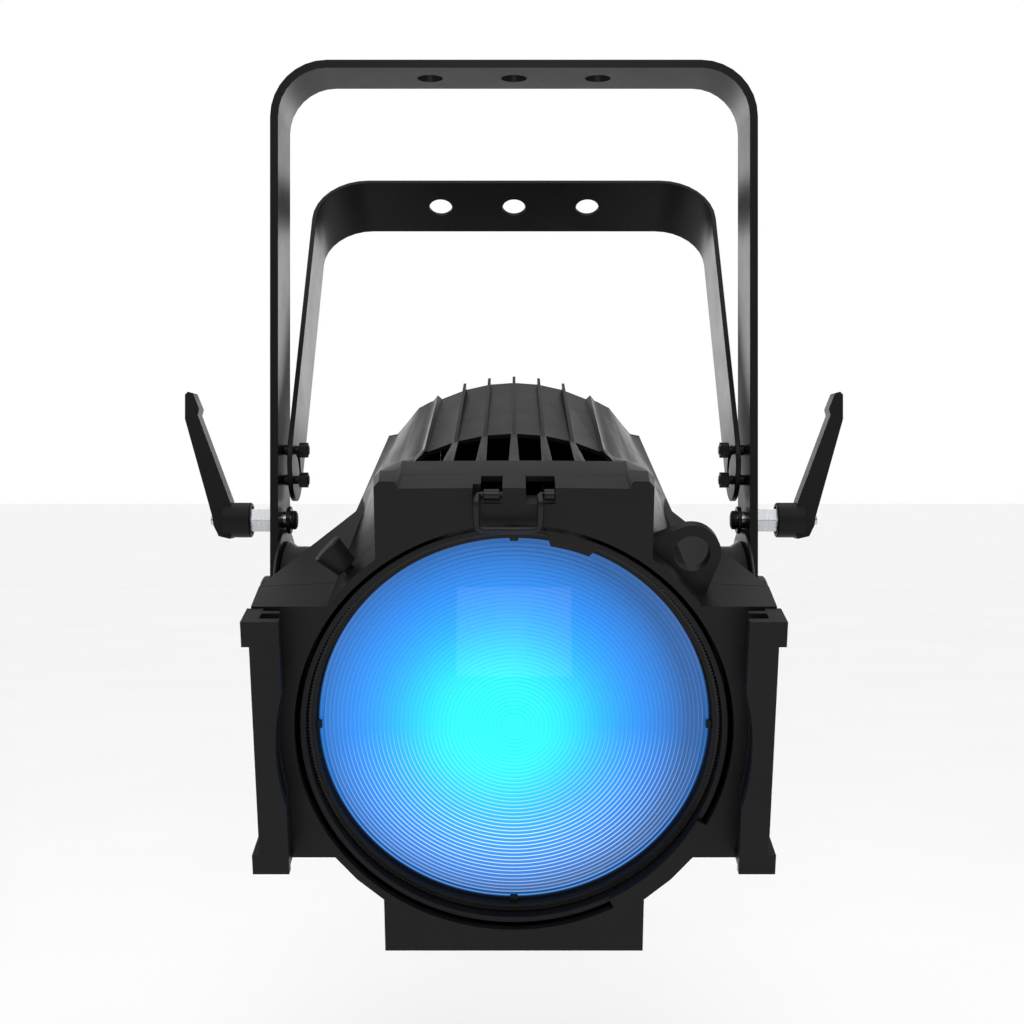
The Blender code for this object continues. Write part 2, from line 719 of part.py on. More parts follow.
def rear_cover(head):
    loops = [outline_at(BACK_U, OUTER_LINES)]
    x, v, half, tall = DISPLAY
    loops.append(rectangle(x - half, v - tall, x + half, v + tall))
    loops += [circle(BUTTON_R + 0.4, spot) for spot in BUTTONS.values()]
    loops += [circle(SOCKET_R + 0.4, (x, SOCKET_V), 32) for x in SOCKETS.values()]
    loops.append(circle(FUSE[2] + 0.4, FUSE[:2]))
    for row in range(-3, 4):
        height = row * 12.0
        reach = math.sqrt(GRILLE_R ** 2 - height ** 2)
        loops += [rectangle(-reach, height - 3, -3, height + 3), rectangle(3, height - 3, reach, height + 3)]
    return paint(prism("rear_cover", loops, PANEL_FRONT, PANEL_BACK, "xv", head), *BLACK)


def rear_controls(head):
    x, v, half, tall = DISPLAY
    screen = block(
        "display", (x - half + GAP, BACK_U - 4, v - tall + GAP),
        (x + half - GAP, PANEL_BACK - 0.8, v + tall - GAP),
        head)
    paint(screen, *SCREEN)
    for name, (x, v) in BUTTONS.items():
        cap = rod(f"button_{name}", BUTTON_R, BACK_U - 3, PANEL_BACK + 2.2, "u", head)
        cap.location = (x * MM, 0, v * MM)
        paint(cap, *PLASTIC)
    for name, x in SOCKETS.items():
        bore = 8.5 if name.startswith("power") else 7.8
        profile = [
            (0, BACK_U - 9), (bore, BACK_U - 9), (bore, PANEL_BACK + 2.4), (14.4, PANEL_BACK + 2.4),
            (14.4, PANEL_BACK + GAP), (SOCKET_R, PANEL_BACK + GAP), (SOCKET_R, BACK_U - 14), (0, BACK_U - 14),
        ]
        body = turned(name, profile, "u", head, 32, False)
        body.location = (x * MM, 0, SOCKET_V * MM)
        paint(body, *PLASTIC)
    fuse = turned(
        "fuse_holder",
        [(0, PANEL_BACK + 7), (6.5, PANEL_BACK + 7), (7.5, PANEL_BACK + 6), (7.5, PANEL_BACK + GAP + 0.1),
         (7.5, BACK_U - 20), (0, BACK_U - 20)],
        "u", head, 32, False)
    fuse.location = (FUSE[0] * MM, 0, FUSE[1] * MM)
    paint(fuse, *PLASTIC)


def pivot_hubs(head):
    hub_profile = [
        (PIVOT_BORE_R, 134.9), (41.8, 134.9), (42.6, 134.1), (39.0, 129.2), (HUB_BOSS_R, 129.0),
        (HUB_BOSS_R, 90.8), (35.0, 90.8), (35.0, 124.0), (32.0, 127.0), (PIVOT_BORE_R, 127.0),
    ]
    for side_name, side in SIDES:
        hub = turned(f"pivot_hub_{side_name}", hub_profile, "x", head, 48)
        disc = ring(f"brake_disc_{side_name}", PIVOT_BORE_R, 49.5, 135.25, 136.65, "x", head, 64)
        for piece, finish in ((hub, BLACK), (disc, DARK_STEEL)):
            on_side(piece, side)
            piece.location = (0, PIVOT_U * MM, PIVOT_V * MM)
            paint(piece, *finish)


def latch(head):
    """The wire bail over the accessory slots, with both ends turned to the right."""
    left, right, front, low = -18.4, 12.9, -12.6, -14.2
    bend = 3.0

    def corner(x):
        return [(x, front + bend, 0), (x, front + bend * 0.3, -bend * 0.3), (x, front, -bend)]

    path = (
        [(-2.6, 0, 0), (left + 2.4, 0, 0), (left + 0.5, -0.6, 0), (left, -2.6, 0)]
        + corner(left)
        + [(left, front, low + bend), (left + bend * 0.3, front, low + bend * 0.3)]
        + [(left + bend, front, low), (right - bend, front, low)]
        + [(right - bend * 0.3, front, low + bend * 0.3), (right, front, low + bend)]
        + list(reversed(corner(right)))
        + [(right, -2.6, 0), (right + 0.5, -0.6, 0), (right + 2.4, 0, 0), (26.0, 0, 0)]
    )
    curve = bpy.data.curves.new("latch_bail", "CURVE")
    curve.dimensions = "3D"
    curve.bevel_depth = 1.75 * MM
    curve.bevel_resolution = 2
    curve.use_fill_caps = True
    spline = curve.splines.new("POLY")
    spline.points.add(len(path) - 1)
    for point, (x, u, v) in zip(spline.points, path):
        point.co = (x * MM, u * MM, v * MM, 1)
    scratch = bpy.data.objects.new("latch_bail", curve)
    PARTS.objects.link(scratch)
    bail = add("latch_bail", baked(scratch), head)
    bail.location = (0, LATCH_U * MM, LATCH_V * MM)
    return paint(bail, *DARK_STEEL)


def lock_knob(head):
    profile = [
        (0, 135.2), (7.4, 135.2), (8.3, 134.2), (6.1, 120.6), (2.5, 120.6), (2.5, 112.2), (0, 112.2)]
    knob = turned("lock_knob", profile, "v", head, closed=False)
    knob.location = (0, KNOB_U * MM, 0)
    knob.rotation_euler = (0, math.radians(90 - KNOB_ANGLE), 0)
    return paint(knob, *PLASTIC)


# ---------------------------------------------------------------- head, inside

def optics(head):
    barrel_profile = [
        (BARREL_OUT_R, 3.0), (BARREL_OUT_R, 28.0), (113.5, 28.0), (113.5, 31.0), (BARREL_OUT_R, 31.0),
        (BARREL_OUT_R, 48.0), (BARREL_IN_R, 48.0), (BARREL_IN_R, 3.0),
    ]
    paint(turned("lens_barrel", barrel_profile, "u", head, ROUND), *BLACK)
    zoom = ring("zoom_ring", ZOOM_IN_R, ZOOM_OUT_R, 9.0, 24.0, "u", head, ROUND)
    reach = 7.4
    outline = arc(110.9, TAB_ANGLE - reach, TAB_ANGLE + reach, 9) + arc(
        103.3, TAB_ANGLE + reach - 1.9, TAB_ANGLE - reach + 1.9, 7)
    tab = prism("zoom_tab", [outline], -0.2, 2.4, "xv", head)
    web = arc(ZOOM_OUT_R - 0.2, TAB_ANGLE - 5, TAB_ANGLE + 5, 7) + arc(
        ZOOM_IN_R + 0.2, TAB_ANGLE + 5, TAB_ANGLE - 5, 7)
    join(tab, prism("zoom_web", [web], 1.5, 10.5, "xv", head))
    join(zoom, tab)
    paint(zoom, *BLACK)
    lens_profile = [
        (0, 19.0), (LENS_R, 19.0), (LENS_R, 15.5), (92.0, 13.4), (70.0, 12.6), (40.0, 11.8), (0, 11.5)]
    paint(turned("fresnel_lens", lens_profile, "u", head, ROUND, False), *LENS_GLASS)
    carrier = [(LENS_R, 19.3), (LENS_R, 28.0), (98.5, 28.0), (98.5, 24.0), (95.0, 22.0), (95.0, 19.3)]
    paint(turned("lens_carrier", carrier, "u", head, ROUND), *ALUMINIUM)
    cone = [(66.0, 122.0), (69.0, 122.0), (69.0, 125.0), (26.5, 225.0), (24.5, 225.0), (66.0, 125.4)]
    paint(turned("mixing_reflector", cone, "u", head, 48), *SILVER)


def led_engine(head):
    profile = [(0, 229.0), (20.0, 229.0), (23.0, 230.5), (23.0, 232.9), (0, 232.9)]
    engine = turned("led_engine", profile, "u", head, 32, False)
    paint(engine, *EMITTER)
    paint(block("led_board", (-30, 233.2, -30), (30, 235.7, 30), head), *BOARD)
    count, pitch, thick = 11, 10.0, 2.4
    half = (count - 1) * pitch / 2 + thick / 2
    comb = [(half, 236.0), (half, 300.0)]
    for i in range(count):
        x = (count - 1) * pitch / 2 - i * pitch
        if i:
            comb += [(x + thick / 2, 244.0), (x + thick / 2, 300.0)]
        comb.append((x - thick / 2, 300.0))
        if i < count - 1:
            comb.append((x - thick / 2, 244.0))
    comb.append((-half, 236.0))
    paint(prism("heat_sink", [comb], -52, 52, "xu", head), *ALUMINIUM)


def fan(head):
    low, high = 304.0, 327.0
    frame_piece = prism(
        "fan_frame", [rectangle(-46, -46, 46, 46), circle(43.0, sides=48)], low, high, "xv", head)
    cross = block("fan_cross", (-45, 324.0, -3), (45, high - 0.2, 3), head)
    upright = block("fan_upright", (-3, 323.9, -45), (3, high - 0.3, 45), head)
    hub = rod("fan_motor", 17.0, 323.6, high, "u", head, 32)
    join(frame_piece, cross, upright, hub)
    paint(frame_piece, *PLASTIC)
    rotor = rod("fan_rotor", 17.5, 306.0, 322.8, "u", head, 32)
    blades = []
    for i in range(7):
        blade = block(f"blade_{i}", (14.0, -6.5, -0.9), (41.5, 6.5, 0.9), head)
        turn = Matrix.Rotation(math.radians(360 / 7 * i), 4, "Y")
        pitch = Matrix.Rotation(math.radians(52), 4, "X")
        blade.data.transform(Matrix.Translation((0, 0.3144, 0)) @ turn @ pitch)
        blades.append(blade)
    join(rotor, merged("fan_blades", blades))
    paint(rotor, *PLASTIC)


def electronics(head):
    supply = block("power_supply", (-55, 120, -108), (55, 285, -74), head)
    paint(supply, *ALUMINIUM)
    board = block("driver_board", (-48, 200, 84.0), (48, 310, 85.8), head)
    parts = [
        block("driver_block", (-40, 215, 78), (-10, 245, 84.5), head),
        block("driver_chip", (5, 225, 80), (35, 255, 84.5), head),
        block("driver_coil", (-30, 265, 76), (-5, 290, 84.5), head),
    ]
    join(board, *parts)
    paint(board, *BOARD)


# ---------------------------------------------------------------- assembly

def main():
    global PARTS, CUTTERS
    clear_scene()
    PARTS = collection("fresnel_spotlight")
    CUTTERS = collection("cutters")
    hanging_yoke()
    floor_bracket()
    bracket_fixings()
    pivots()
    clamps()
    pivot = frame("head_pivot", (0, 0, PIVOT_Z), TILT)
    head = frame("head_axis", (0, -PIVOT_U, -PIVOT_V), 0, pivot)
    front_frame(head)
    for side_name, side in SIDES:
        accessory_rail(head, side_name, side)
    housing(head)
    rear_cover(head)
    rear_controls(head)
    pivot_hubs(head)
    latch(head)
    lock_knob(head)
    optics(head)
    led_engine(head)
    fan(head)
    electronics(head)


main()
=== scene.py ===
"""The looks of a fresnel spotlight on a hanging yoke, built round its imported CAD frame.

World: X right, Y back, Z up, from the centre of the yoke's top face. The head's frame is tilted
about the pivot: x right, u back along the lens axis from the front face, and v up from the lens
axis. Sizes are in millimetres, the same as in the CAD, and the helpers turn them into metres.
"""

import json
from math import cos, hypot, radians, sin, sqrt, tau

import bmesh
import bpy
from mathutils import Matrix, Vector

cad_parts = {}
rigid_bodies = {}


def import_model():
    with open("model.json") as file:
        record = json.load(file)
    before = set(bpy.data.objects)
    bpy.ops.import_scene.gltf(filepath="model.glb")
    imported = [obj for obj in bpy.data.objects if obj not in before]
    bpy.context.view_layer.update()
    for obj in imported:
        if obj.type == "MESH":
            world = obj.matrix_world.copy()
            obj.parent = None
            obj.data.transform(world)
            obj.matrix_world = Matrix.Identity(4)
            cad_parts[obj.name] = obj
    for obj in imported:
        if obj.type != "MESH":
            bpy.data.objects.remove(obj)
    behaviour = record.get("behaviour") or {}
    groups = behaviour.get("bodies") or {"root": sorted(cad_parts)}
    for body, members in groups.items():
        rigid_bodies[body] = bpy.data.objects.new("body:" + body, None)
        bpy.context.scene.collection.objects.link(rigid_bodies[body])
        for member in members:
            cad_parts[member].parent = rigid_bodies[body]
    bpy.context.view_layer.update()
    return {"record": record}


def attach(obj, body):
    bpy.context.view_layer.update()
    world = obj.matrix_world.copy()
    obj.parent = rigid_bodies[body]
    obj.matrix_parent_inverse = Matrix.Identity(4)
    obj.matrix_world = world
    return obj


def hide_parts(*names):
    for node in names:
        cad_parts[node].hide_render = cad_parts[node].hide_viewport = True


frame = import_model()
BODY_OF = {
    node: body for body, nodes in frame["record"]["behaviour"]["bodies"].items() for node in nodes
}

MM = 0.001
GAP = 0.3  # between pieces that touch

# Hanging yoke
YOKE_HALF = 141.7
YOKE_THICK = 4.7
YOKE_RADIUS = 33
BAR_HALF = 23
HOLE_PITCH = 50
HOLE_R = 7.7
PIVOT_Z = -322.6
CLAMP_Z = -268
PIVOT_R = 5.9
PIVOT_BORE_R = 6.3
CLAMP_BORE_R = 5.3

# Floor bracket, about its own pivot
BRACKET_HALF = 133
BRACKET_THICK = 3
BRACKET_RADIUS = 35
BRACKET_HEIGHT = 228.7
BRACKET_Z = -244.1
BRACKET_LEAN = 34.5
FOOT_CENTRE = 12.4
SLOT_RADIUS = 17.8
SLOT_HALF_WIDTH = 2.9
SLOT_MARGIN = 0.6
STUD_R = 2.5
NUT_FLATS = 8

# Clamp levers
INSERT_FLATS = 13.4
CLAMP_R = 4.9
HUB_INNER = 156
HUB_R = 10.4
LEVER_HALF_THICK = 6.6

# Tilting head
TILT = 15
PIVOT_U = 129.7
PIVOT_V = 19.7
OPENING_R = 113
STOP_R = 107.5
STOP_FROM, STOP_TO = -62, -27
FRAME_DEPTH = 25
PLATE_THICK = 4
BACK_U = 330
WALL = 2.5
SEAM_V = 45
BLOCK_V = 131.4
BLOCK_U = 54
ROOF_U = 157
ROOF_R_FRONT, ROOF_R_BACK = 122.5, 118
FIN_R = 123.4
FIN_PITCH = 17.4
HUB_BOSS_R = 39

# Optics
LENS_R = 102.6
ZOOM_IN_R, ZOOM_OUT_R = 103.2, 105.8
BARREL_IN_R, BARREL_OUT_R = 107.5, 110.5
TAB_ANGLE = 74.4
GROOVE_START, GROOVE_PITCH, GROOVE_DEPTH = 6.6, 2.2, 0.62
TEETH = 350
RISER = 0.12  # share of the pitch taken by the steep side of a groove
KNOB_ANGLE = 135
KNOB_U = 17
LATCH_U, LATCH_V = 4, 127

ROUND = 192  # sides of the large rings
SMALL = 48  # sides of bolts and bores

SIDES = (("left", -1), ("right", 1))
SHARP = radians(38)  # a finished piece's sharper edges are rounded

PLANE = {
    # outline axes -> head or world axes; the prism runs along the third axis
    "xv": Matrix(((1, 0, 0), (0, 0, -1), (0, 1, 0))),
    "uv": Matrix(((0, 0, 1), (1, 0, 0), (0, 1, 0))),
    "xu": Matrix.Identity(3),
}
# a profile's plane -> head or world axes, for each axis that it turns about
TURN = {"x": PLANE["uv"], "u": Matrix(((1, 0, 0), (0, 0, 1), (0, -1, 0))), "v": PLANE["xu"]}


# ---- construction helpers

def collection(name):
    made = bpy.data.collections.new(name)
    bpy.context.scene.collection.children.link(made)
    return made


PARTS, CUTTERS = collection("construction"), collection("cutters")


def linked(name, data, group=PARTS):
    made = bpy.data.objects.new(name, data)
    group.objects.link(made)
    return made


def outward(mesh):
    """Welds the mesh and turns its faces outwards."""
    work = bmesh.new()
    work.from_mesh(mesh)
    bmesh.ops.remove_doubles(work, verts=work.verts, dist=1e-6)
    bmesh.ops.recalc_face_normals(work, faces=work.faces)
    if work.calc_volume(signed=True) < 0:
        bmesh.ops.reverse_faces(work, faces=work.faces)
    work.to_mesh(mesh)
    work.free()
    return mesh


def add(name, mesh, parent=None):
    made = linked(name, outward(mesh))
    made.parent = parent
    made["node"] = name
    mesh.shade_smooth()
    mesh.set_sharp_from_angle(angle=radians(30))
    return made


def evaluated(obj):
    bpy.context.view_layer.update()
    graph = bpy.context.evaluated_depsgraph_get()
    return bpy.data.meshes.new_from_object(obj.evaluated_get(graph))


def baked(obj):
    """The evaluated mesh of a scratch object, which is removed."""
    mesh = evaluated(obj)
    bpy.data.objects.remove(obj)
    return mesh


def circle(radius, centre=(0, 0), sides=SMALL, start=0):
    return arc(radius, start, start + 360 * (sides - 1) / sides, sides, centre)


def arc(radius, start, end, points, centre=(0, 0)):
    step = (end - start) / (points - 1)
    angles = [radians(start + step * i) for i in range(points)]
    return [(centre[0] + radius * cos(a), centre[1] + radius * sin(a)) for a in angles]


def hexagon(flats, start=0):
    return circle(flats / sqrt(3), sides=6, start=start)


def rectangle(x0, y0, x1, y1):
    return [(x0, y0), (x1, y0), (x1, y1), (x0, y1)]


def poly(curve, points):
    """Adds a spline through points in millimetres."""
    spline = curve.splines.new("POLY")
    spline.points.add(len(points) - 1)
    for point, spot in zip(spline.points, points):
        point.co = (*(c * MM for c in spot), 1)
    return spline


def prism(name, loops, low, high, plane, parent=None):
    """An outline, and its holes, extruded from low to high along the plane's normal."""
    curve = bpy.data.curves.new(name, "CURVE")
    curve.dimensions = "2D"
    curve.fill_mode = "BOTH"
    curve.extrude = (high - low) / 2 * MM
    for loop in loops:
        poly(curve, [(a, b, 0) for a, b in loop]).use_cyclic_u = True
    mesh = baked(linked(name, curve))
    middle = (low + high) / 2 * MM * (-1 if plane == "xv" else 1)
    mesh.transform(PLANE[plane].to_4x4() @ Matrix.Translation((0, 0, middle)))
    return add(name, mesh, parent)


def turned(name, profile, axis, parent=None, steps=SMALL, centre=(0, 0, 0)):
    """A profile of (radius, distance along the axis), which is open if it starts on the axis."""
    mesh = bpy.data.meshes.new(name)
    edges = [(i, i + 1) for i in range(len(profile) - 1)]
    if profile[0][0]:
        edges.append((len(profile) - 1, 0))
    mesh.from_pydata([(r * MM, 0, s * MM) for r, s in profile], edges, [])
    scratch = linked(name, mesh)
    screw = scratch.modifiers.new("Screw", "SCREW")
    screw.steps = screw.render_steps = steps
    screw.use_merge_vertices = True
    screw.merge_threshold = 1e-6
    mesh = baked(scratch)
    mesh.transform(Matrix.Translation([c * MM for c in centre]) @ TURN[axis].to_4x4())
    return add(name, mesh, parent)


def rod(name, radius, low, high, axis, parent=None, steps=SMALL, centre=(0, 0, 0)):
    profile = [(0, high), (radius, high), (radius, low), (0, low)]
    return turned(name, profile, axis, parent, steps, centre)


def ring(name, inner, outer, low, high, axis, parent=None, steps=SMALL, centre=(0, 0, 0)):
    profile = [(outer, high), (outer, low), (inner, low), (inner, high)]
    return turned(name, profile, axis, parent, steps, centre)


def block(name, low, high, parent=None):
    mesh = bpy.data.meshes.new(name)
    work = bmesh.new()
    bmesh.ops.create_cube(work, size=1)
    size = [(b - a) * MM for a, b in zip(low, high)]
    middle = [(a + b) / 2 * MM for a, b in zip(low, high)]
    bmesh.ops.scale(work, vec=size, verts=work.verts)
    bmesh.ops.translate(work, vec=middle, verts=work.verts)
    work.to_mesh(mesh)
    work.free()
    return add(name, mesh, parent)


def loft(name, sections, parent=None):
    """A solid through outlines that have the same number of points: (u, outline) pairs."""
    mesh = bpy.data.meshes.new(name)
    work = bmesh.new()
    rows = [
        [work.verts.new((x * MM, u * MM, v * MM)) for x, v in outline] for u, outline in sections]
    for row, after in zip(rows, rows[1:]):
        count = len(row)
        for i in range(count):
            j = (i + 1) % count
            work.faces.new((row[i], row[j], after[j], after[i]))
    bmesh.ops.triangulate(work, faces=work.faces)
    work.faces.new(rows[0])
    work.faces.new(rows[-1])
    work.to_mesh(mesh)
    work.free()
    return add(name, mesh, parent)


def merged(name, objects):
    """Several closed bodies in one helper mesh."""
    work = bmesh.new()
    parent = objects[0].parent
    for obj in objects:
        mesh = obj.data
        mesh.transform(obj.matrix_basis)
        work.from_mesh(mesh)
        bpy.data.objects.remove(obj)
    mesh = bpy.data.meshes.new(name)
    work.to_mesh(mesh)
    work.free()
    return add(name, mesh, parent)


def boolean(obj, operation, others):
    """Cuts or joins with other pieces, which become helpers that are left out of the model."""
    for other in others:
        if other.name not in CUTTERS.objects:
            PARTS.objects.unlink(other)
            CUTTERS.objects.link(other)
        modifier = obj.modifiers.new(other.name, "BOOLEAN")
        modifier.operation = operation
        modifier.solver = "EXACT"
        modifier.object = other
    return obj


def cut(obj, *others):
    return boolean(obj, "DIFFERENCE", others)


def join(obj, *others):
    return boolean(obj, "UNION", others)


def keep(obj, other):
    return boolean(obj, "INTERSECT", [other])


def on_side(obj, side):
    """Reflects a piece that belongs on the left."""
    if side < 0:
        obj.data.transform(Matrix.Scale(-1, 4, (1, 0, 0)))
        outward(obj.data)
    return obj


def paint(obj, look, width=0.5):
    """Names the finish of a construction, and how far its edges are rounded."""
    obj["look"] = look
    obj["round"] = width
    return obj


def placed(obj, place, look=None, width=0.5):
    obj.location = [c * MM for c in place]
    return paint(obj, look, width) if look else obj


def extra(obj, body, look, width=0.2):
    """A detail that rides on a body and stands in for no CAD node."""
    obj["body"] = body
    return paint(obj, look, width)


def head_point(x, u, v):
    """A point of the head's frame in the world, in metres."""
    tilt = radians(TILT)
    du, dv = u - PIVOT_U, v - PIVOT_V
    y = du * cos(tilt) - dv * sin(tilt)
    z = PIVOT_Z + du * sin(tilt) + dv * cos(tilt)
    return (x * MM, y * MM, z * MM)


def finished(obj, looks):
    """Turns a construction into a piece with round edges that rides in place of its CAD node."""
    look, width = obj["look"], obj["round"]
    mesh = evaluated(obj)
    mesh.transform(obj.matrix_world)
    outward(mesh)
    work = bmesh.new()
    work.from_mesh(mesh)
    bmesh.ops.dissolve_limit(
        work, angle_limit=radians(0.3), verts=work.verts, edges=work.edges,
        delimit={"NORMAL"})
    work.to_mesh(mesh)
    work.free()
    node = obj["node"]
    name = node if "body" in obj else f"{node}_fine"
    made = linked(name, mesh, bpy.context.scene.collection)
    mesh.materials.clear()
    mesh.materials.append(looks[look])
    mesh.shade_smooth()
    mesh.set_sharp_from_angle(angle=SHARP)
    if width:
        bevel = made.modifiers.new("Bevel", "BEVEL")
        bevel.width = width * MM
        bevel.segments = 2
        bevel.limit_method = "ANGLE"
        bevel.angle_limit = SHARP
        bevel.harden_normals = True
    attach(made, obj.get("body") or BODY_OF[node])
    if "body" not in obj:
        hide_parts(node)
    return made


# ---- materials

class Nodes:
    """A small builder for a node tree."""

    def __init__(self, tree, coordinates):
        self.tree = tree
        self.place = self.add("ShaderNodeTexCoord", {}).outputs[coordinates]

    def add(self, kind, inputs, **settings):
        """A node with its settings, and its inputs, which are other outputs or plain values."""
        node = self.tree.nodes.new(kind)
        for key, value in settings.items():
            setattr(node, key, value)
        for key, value in inputs.items():
            if isinstance(value, bpy.types.NodeSocket):
                self.tree.links.new(value, node.inputs[key])
            elif value is not None:
                node.inputs[key].default_value = value
        return node

    def noise(self, scale, detail=3, rough=0.5, place=None):
        place = place or self.place
        values = {"Scale": scale, "Detail": detail, "Roughness": rough, "Vector": place}
        return self.add("ShaderNodeTexNoise", values).outputs["Fac"]

    def ramp(self, value, stops):
        """A colour ramp; a stop's colour is a tuple, or one number for a grey."""
        node = self.add("ShaderNodeValToRGB", {"Fac": value})
        elements = node.color_ramp.elements
        while len(elements) < len(stops):
            elements.new(0.5)
        for element, (at, colour) in zip(elements, stops):
            element.position = at
            element.color = (*(colour if isinstance(colour, tuple) else [colour] * 3), 1)
        return node.outputs["Color"]

    def spread(self, value, low, high, start=0.3, end=0.7):
        """Takes start to end over to low to high."""
        values = {"Value": value, "From Min": start, "From Max": end, "To Min": low, "To Max": high}
        return self.add("ShaderNodeMapRange", values).outputs["Result"]

    def bump(self, value, height, strength):
        values = {"Strength": strength, "Distance": height, "Height": value}
        return self.add("ShaderNodeBump", values).outputs["Normal"]

    def calc(self, operation, first, second=None):
        return self.add("ShaderNodeMath", {0: first, 1: second}, operation=operation).outputs[0]

    def vector(self, operation, first, second=None, out="Vector"):
        values = {0: first, 1: second}
        return self.add("ShaderNodeVectorMath", values, operation=operation).outputs[out]

    def split(self, place):
        return self.add("ShaderNodeSeparateXYZ", {0: place}).outputs


class Material(Nodes):
    def __init__(self, name):
        self.material = bpy.data.materials.new(name)
        self.material.use_nodes = True
        super().__init__(self.material.node_tree, "Object")
        self.shader = self.tree.nodes["Principled BSDF"]

    def set(self, **values):
        for key, value in values.items():
            self.shader.inputs[key.replace("_", " ")].default_value = value

    def feed(self, socket, output):
        self.tree.links.new(output, self.shader.inputs[socket])


LENS_GLOW = [
    (0, (0.004, 1, 1)), (0.20, (0.004, 1, 1)), (0.32, (0.003, 0.86, 1)),
    (0.42, (0.003, 0.68, 1)), (0.52, (0.004, 0.50, 1)), (0.62, (0.005, 0.37, 0.98)),
    (0.73, (0.005, 0.27, 0.92)), (0.85, (0.004, 0.19, 0.68)), (0.97, (0.003, 0.10, 0.36))]
# Painted highlight on the lens: thin bright lines on the groove crests, low on the lens and at its
# sides. These give where the lines fall across the lens, how wide they are on each groove, and
# their colour.
PAINTED_HIGHLIGHT_REACH = [(0.1, 0.15), (0.35, 0.45), (0.62, 1), (0.8, 0.8), (0.94, 0.35)]
PAINTED_HIGHLIGHT_WIDTH = [(0, 0), (0.01, 0.4), (0.1, 0), (0.72, 0), (0.9, 1)]
# Painted shade: the lens's glow is darker on the steep side of each groove.
PAINTED_GROOVE_SHADE = [(0, 1), (0.01, (0.80, 0.85, 0.9)), (0.14, (0.84, 0.88, 0.92)), (0.4, 1)]
PAINTED_HIGHLIGHT_COLOUR = (0.8, 0.85, 0.95)
DOME_R = 2100  # how gently the smooth surface over the grooves is domed
LENS_U = 15  # depth of the point that the lens's colours are measured from
GLOW_CENTRE = (-8, 1)


def mottle(made, pattern, colour, dark, light):
    """Varies a colour with a pattern."""
    shades = [tuple(min(c * share, 1) for c in colour) for share in (dark, light)]
    made.feed("Base Color", made.ramp(pattern, list(zip((0.3, 0.7), shades))))


def coated(name, colour, rough, grain=900, height=0.00005, metal=0):
    """Powder coat or moulded plastic: a fine orange peel, slight mottling and handling marks."""
    made = Material(name)
    mottle(made, made.noise(16, 4, 0.6), colour, 0.88, 1.15)
    made.feed("Roughness", made.spread(made.noise(38, 5, 0.65), rough - 0.02, rough + 0.03))
    made.feed("Normal", made.bump(made.noise(grain, 2, 0.5), height, 0.6))
    made.set(Metallic=metal, Specular_IOR_Level=0.12)
    return made.material


def bright_metal(name, colour, rough, axis="x"):
    """Turned or plated metal with fine lines round its axis."""
    made = Material(name)
    scale = (40, 1, 1) if axis == "x" else (1, 40, 1)
    stretch = made.add("ShaderNodeMapping", {"Scale": scale, "Vector": made.place})
    lines = made.noise(60, 3, 0.6, stretch.outputs["Vector"])
    mottle(made, lines, colour, 0.86, 1.06)
    made.feed("Roughness", made.spread(made.noise(120, 3), rough - 0.05, rough + 0.1))
    made.feed("Normal", made.bump(lines, 0.00002, 0.4))
    made.set(Metallic=1)
    return made.material


def lens_place(made, x=0, v=0):
    """The place in the head's frame, in metres, from a point near the lens's front."""
    shift = made.vector("SUBTRACT", made.place, head_point(x, LENS_U, v))
    values = {"Angle": -radians(TILT), "Vector": shift}
    return made.add("ShaderNodeVectorRotate", values, rotation_type="X_AXIS").outputs[0]


def lens_reach(made, place):
    """Distance from the lens axis, from 0 at the axis to 1 at the rim."""
    flat = made.vector("MULTIPLY", place, (1, 0, 1))
    return made.calc("DIVIDE", made.vector("LENGTH", flat, out="Value"), LENS_R * MM)


def glowing_lens(name):
    """Grooved glass with the light behind it: cyan in the middle, deep blue at the rim. The crests
    of the lower grooves and of the grooves at the sides get painted highlights, and the steep sides
    of the grooves get painted shade."""
    made = Material(name)
    glow = made.ramp(lens_reach(made, lens_place(made, *GLOW_CENTRE)), LENS_GLOW)
    place = lens_place(made)
    reach = lens_reach(made, place)
    across, depth, up = made.split(place)
    groove = made.calc("SUBTRACT", reach, GROOVE_START / LENS_R)
    groove = made.calc("MODULO", groove, GROOVE_PITCH / LENS_R)
    groove = made.calc("DIVIDE", groove, GROOVE_PITCH / LENS_R)
    # Painted shade: the glow is darkened on the steep side of each groove.
    glow_with_painted_shade = made.vector("MULTIPLY", glow, made.ramp(groove, PAINTED_GROOVE_SHADE))
    # Painted highlight: bright lines on the groove crests, in the lower half of the lens and at its
    # sides.
    lower = made.spread(up, 0, 1, 0, -0.07)
    below = made.calc("MULTIPLY", lower, made.ramp(reach, PAINTED_HIGHLIGHT_REACH))
    beside = made.spread(made.calc("ABSOLUTE", across), 0, 0.06, 0.045, 0.09)
    crest = made.ramp(groove, PAINTED_HIGHLIGHT_WIDTH)
    painted_glint = made.calc("MULTIPLY", made.calc("MAXIMUM", below, beside), crest)
    glow_and_painted_highlight = made.vector("ADD", glow_with_painted_shade, made.vector("MULTIPLY", painted_glint, PAINTED_HIGHLIGHT_COLOUR))
    front = made.spread(depth, 1, 0, 0.0015, 0.0035)
    made.feed("Emission Color", made.vector("MULTIPLY", glow_and_painted_highlight, front))
    made.set(Emission_Strength=1, Specular_IOR_Level=0.25, Coat_Weight=0.4, Coat_Roughness=0.02)
    made.feed("Base Color", made.ramp(reach, [(0, (0, 0.02, 0.03)), (1, (0, 0.01, 0.03))]))
    made.feed("Roughness", made.spread(made.noise(30, 4), 0.06, 0.11))
    out = made.vector("SUBTRACT", made.place, head_point(0, DOME_R, 0))
    dome = made.vector("NORMALIZE", out)
    made.feed("Coat Normal", dome)
    return made.material


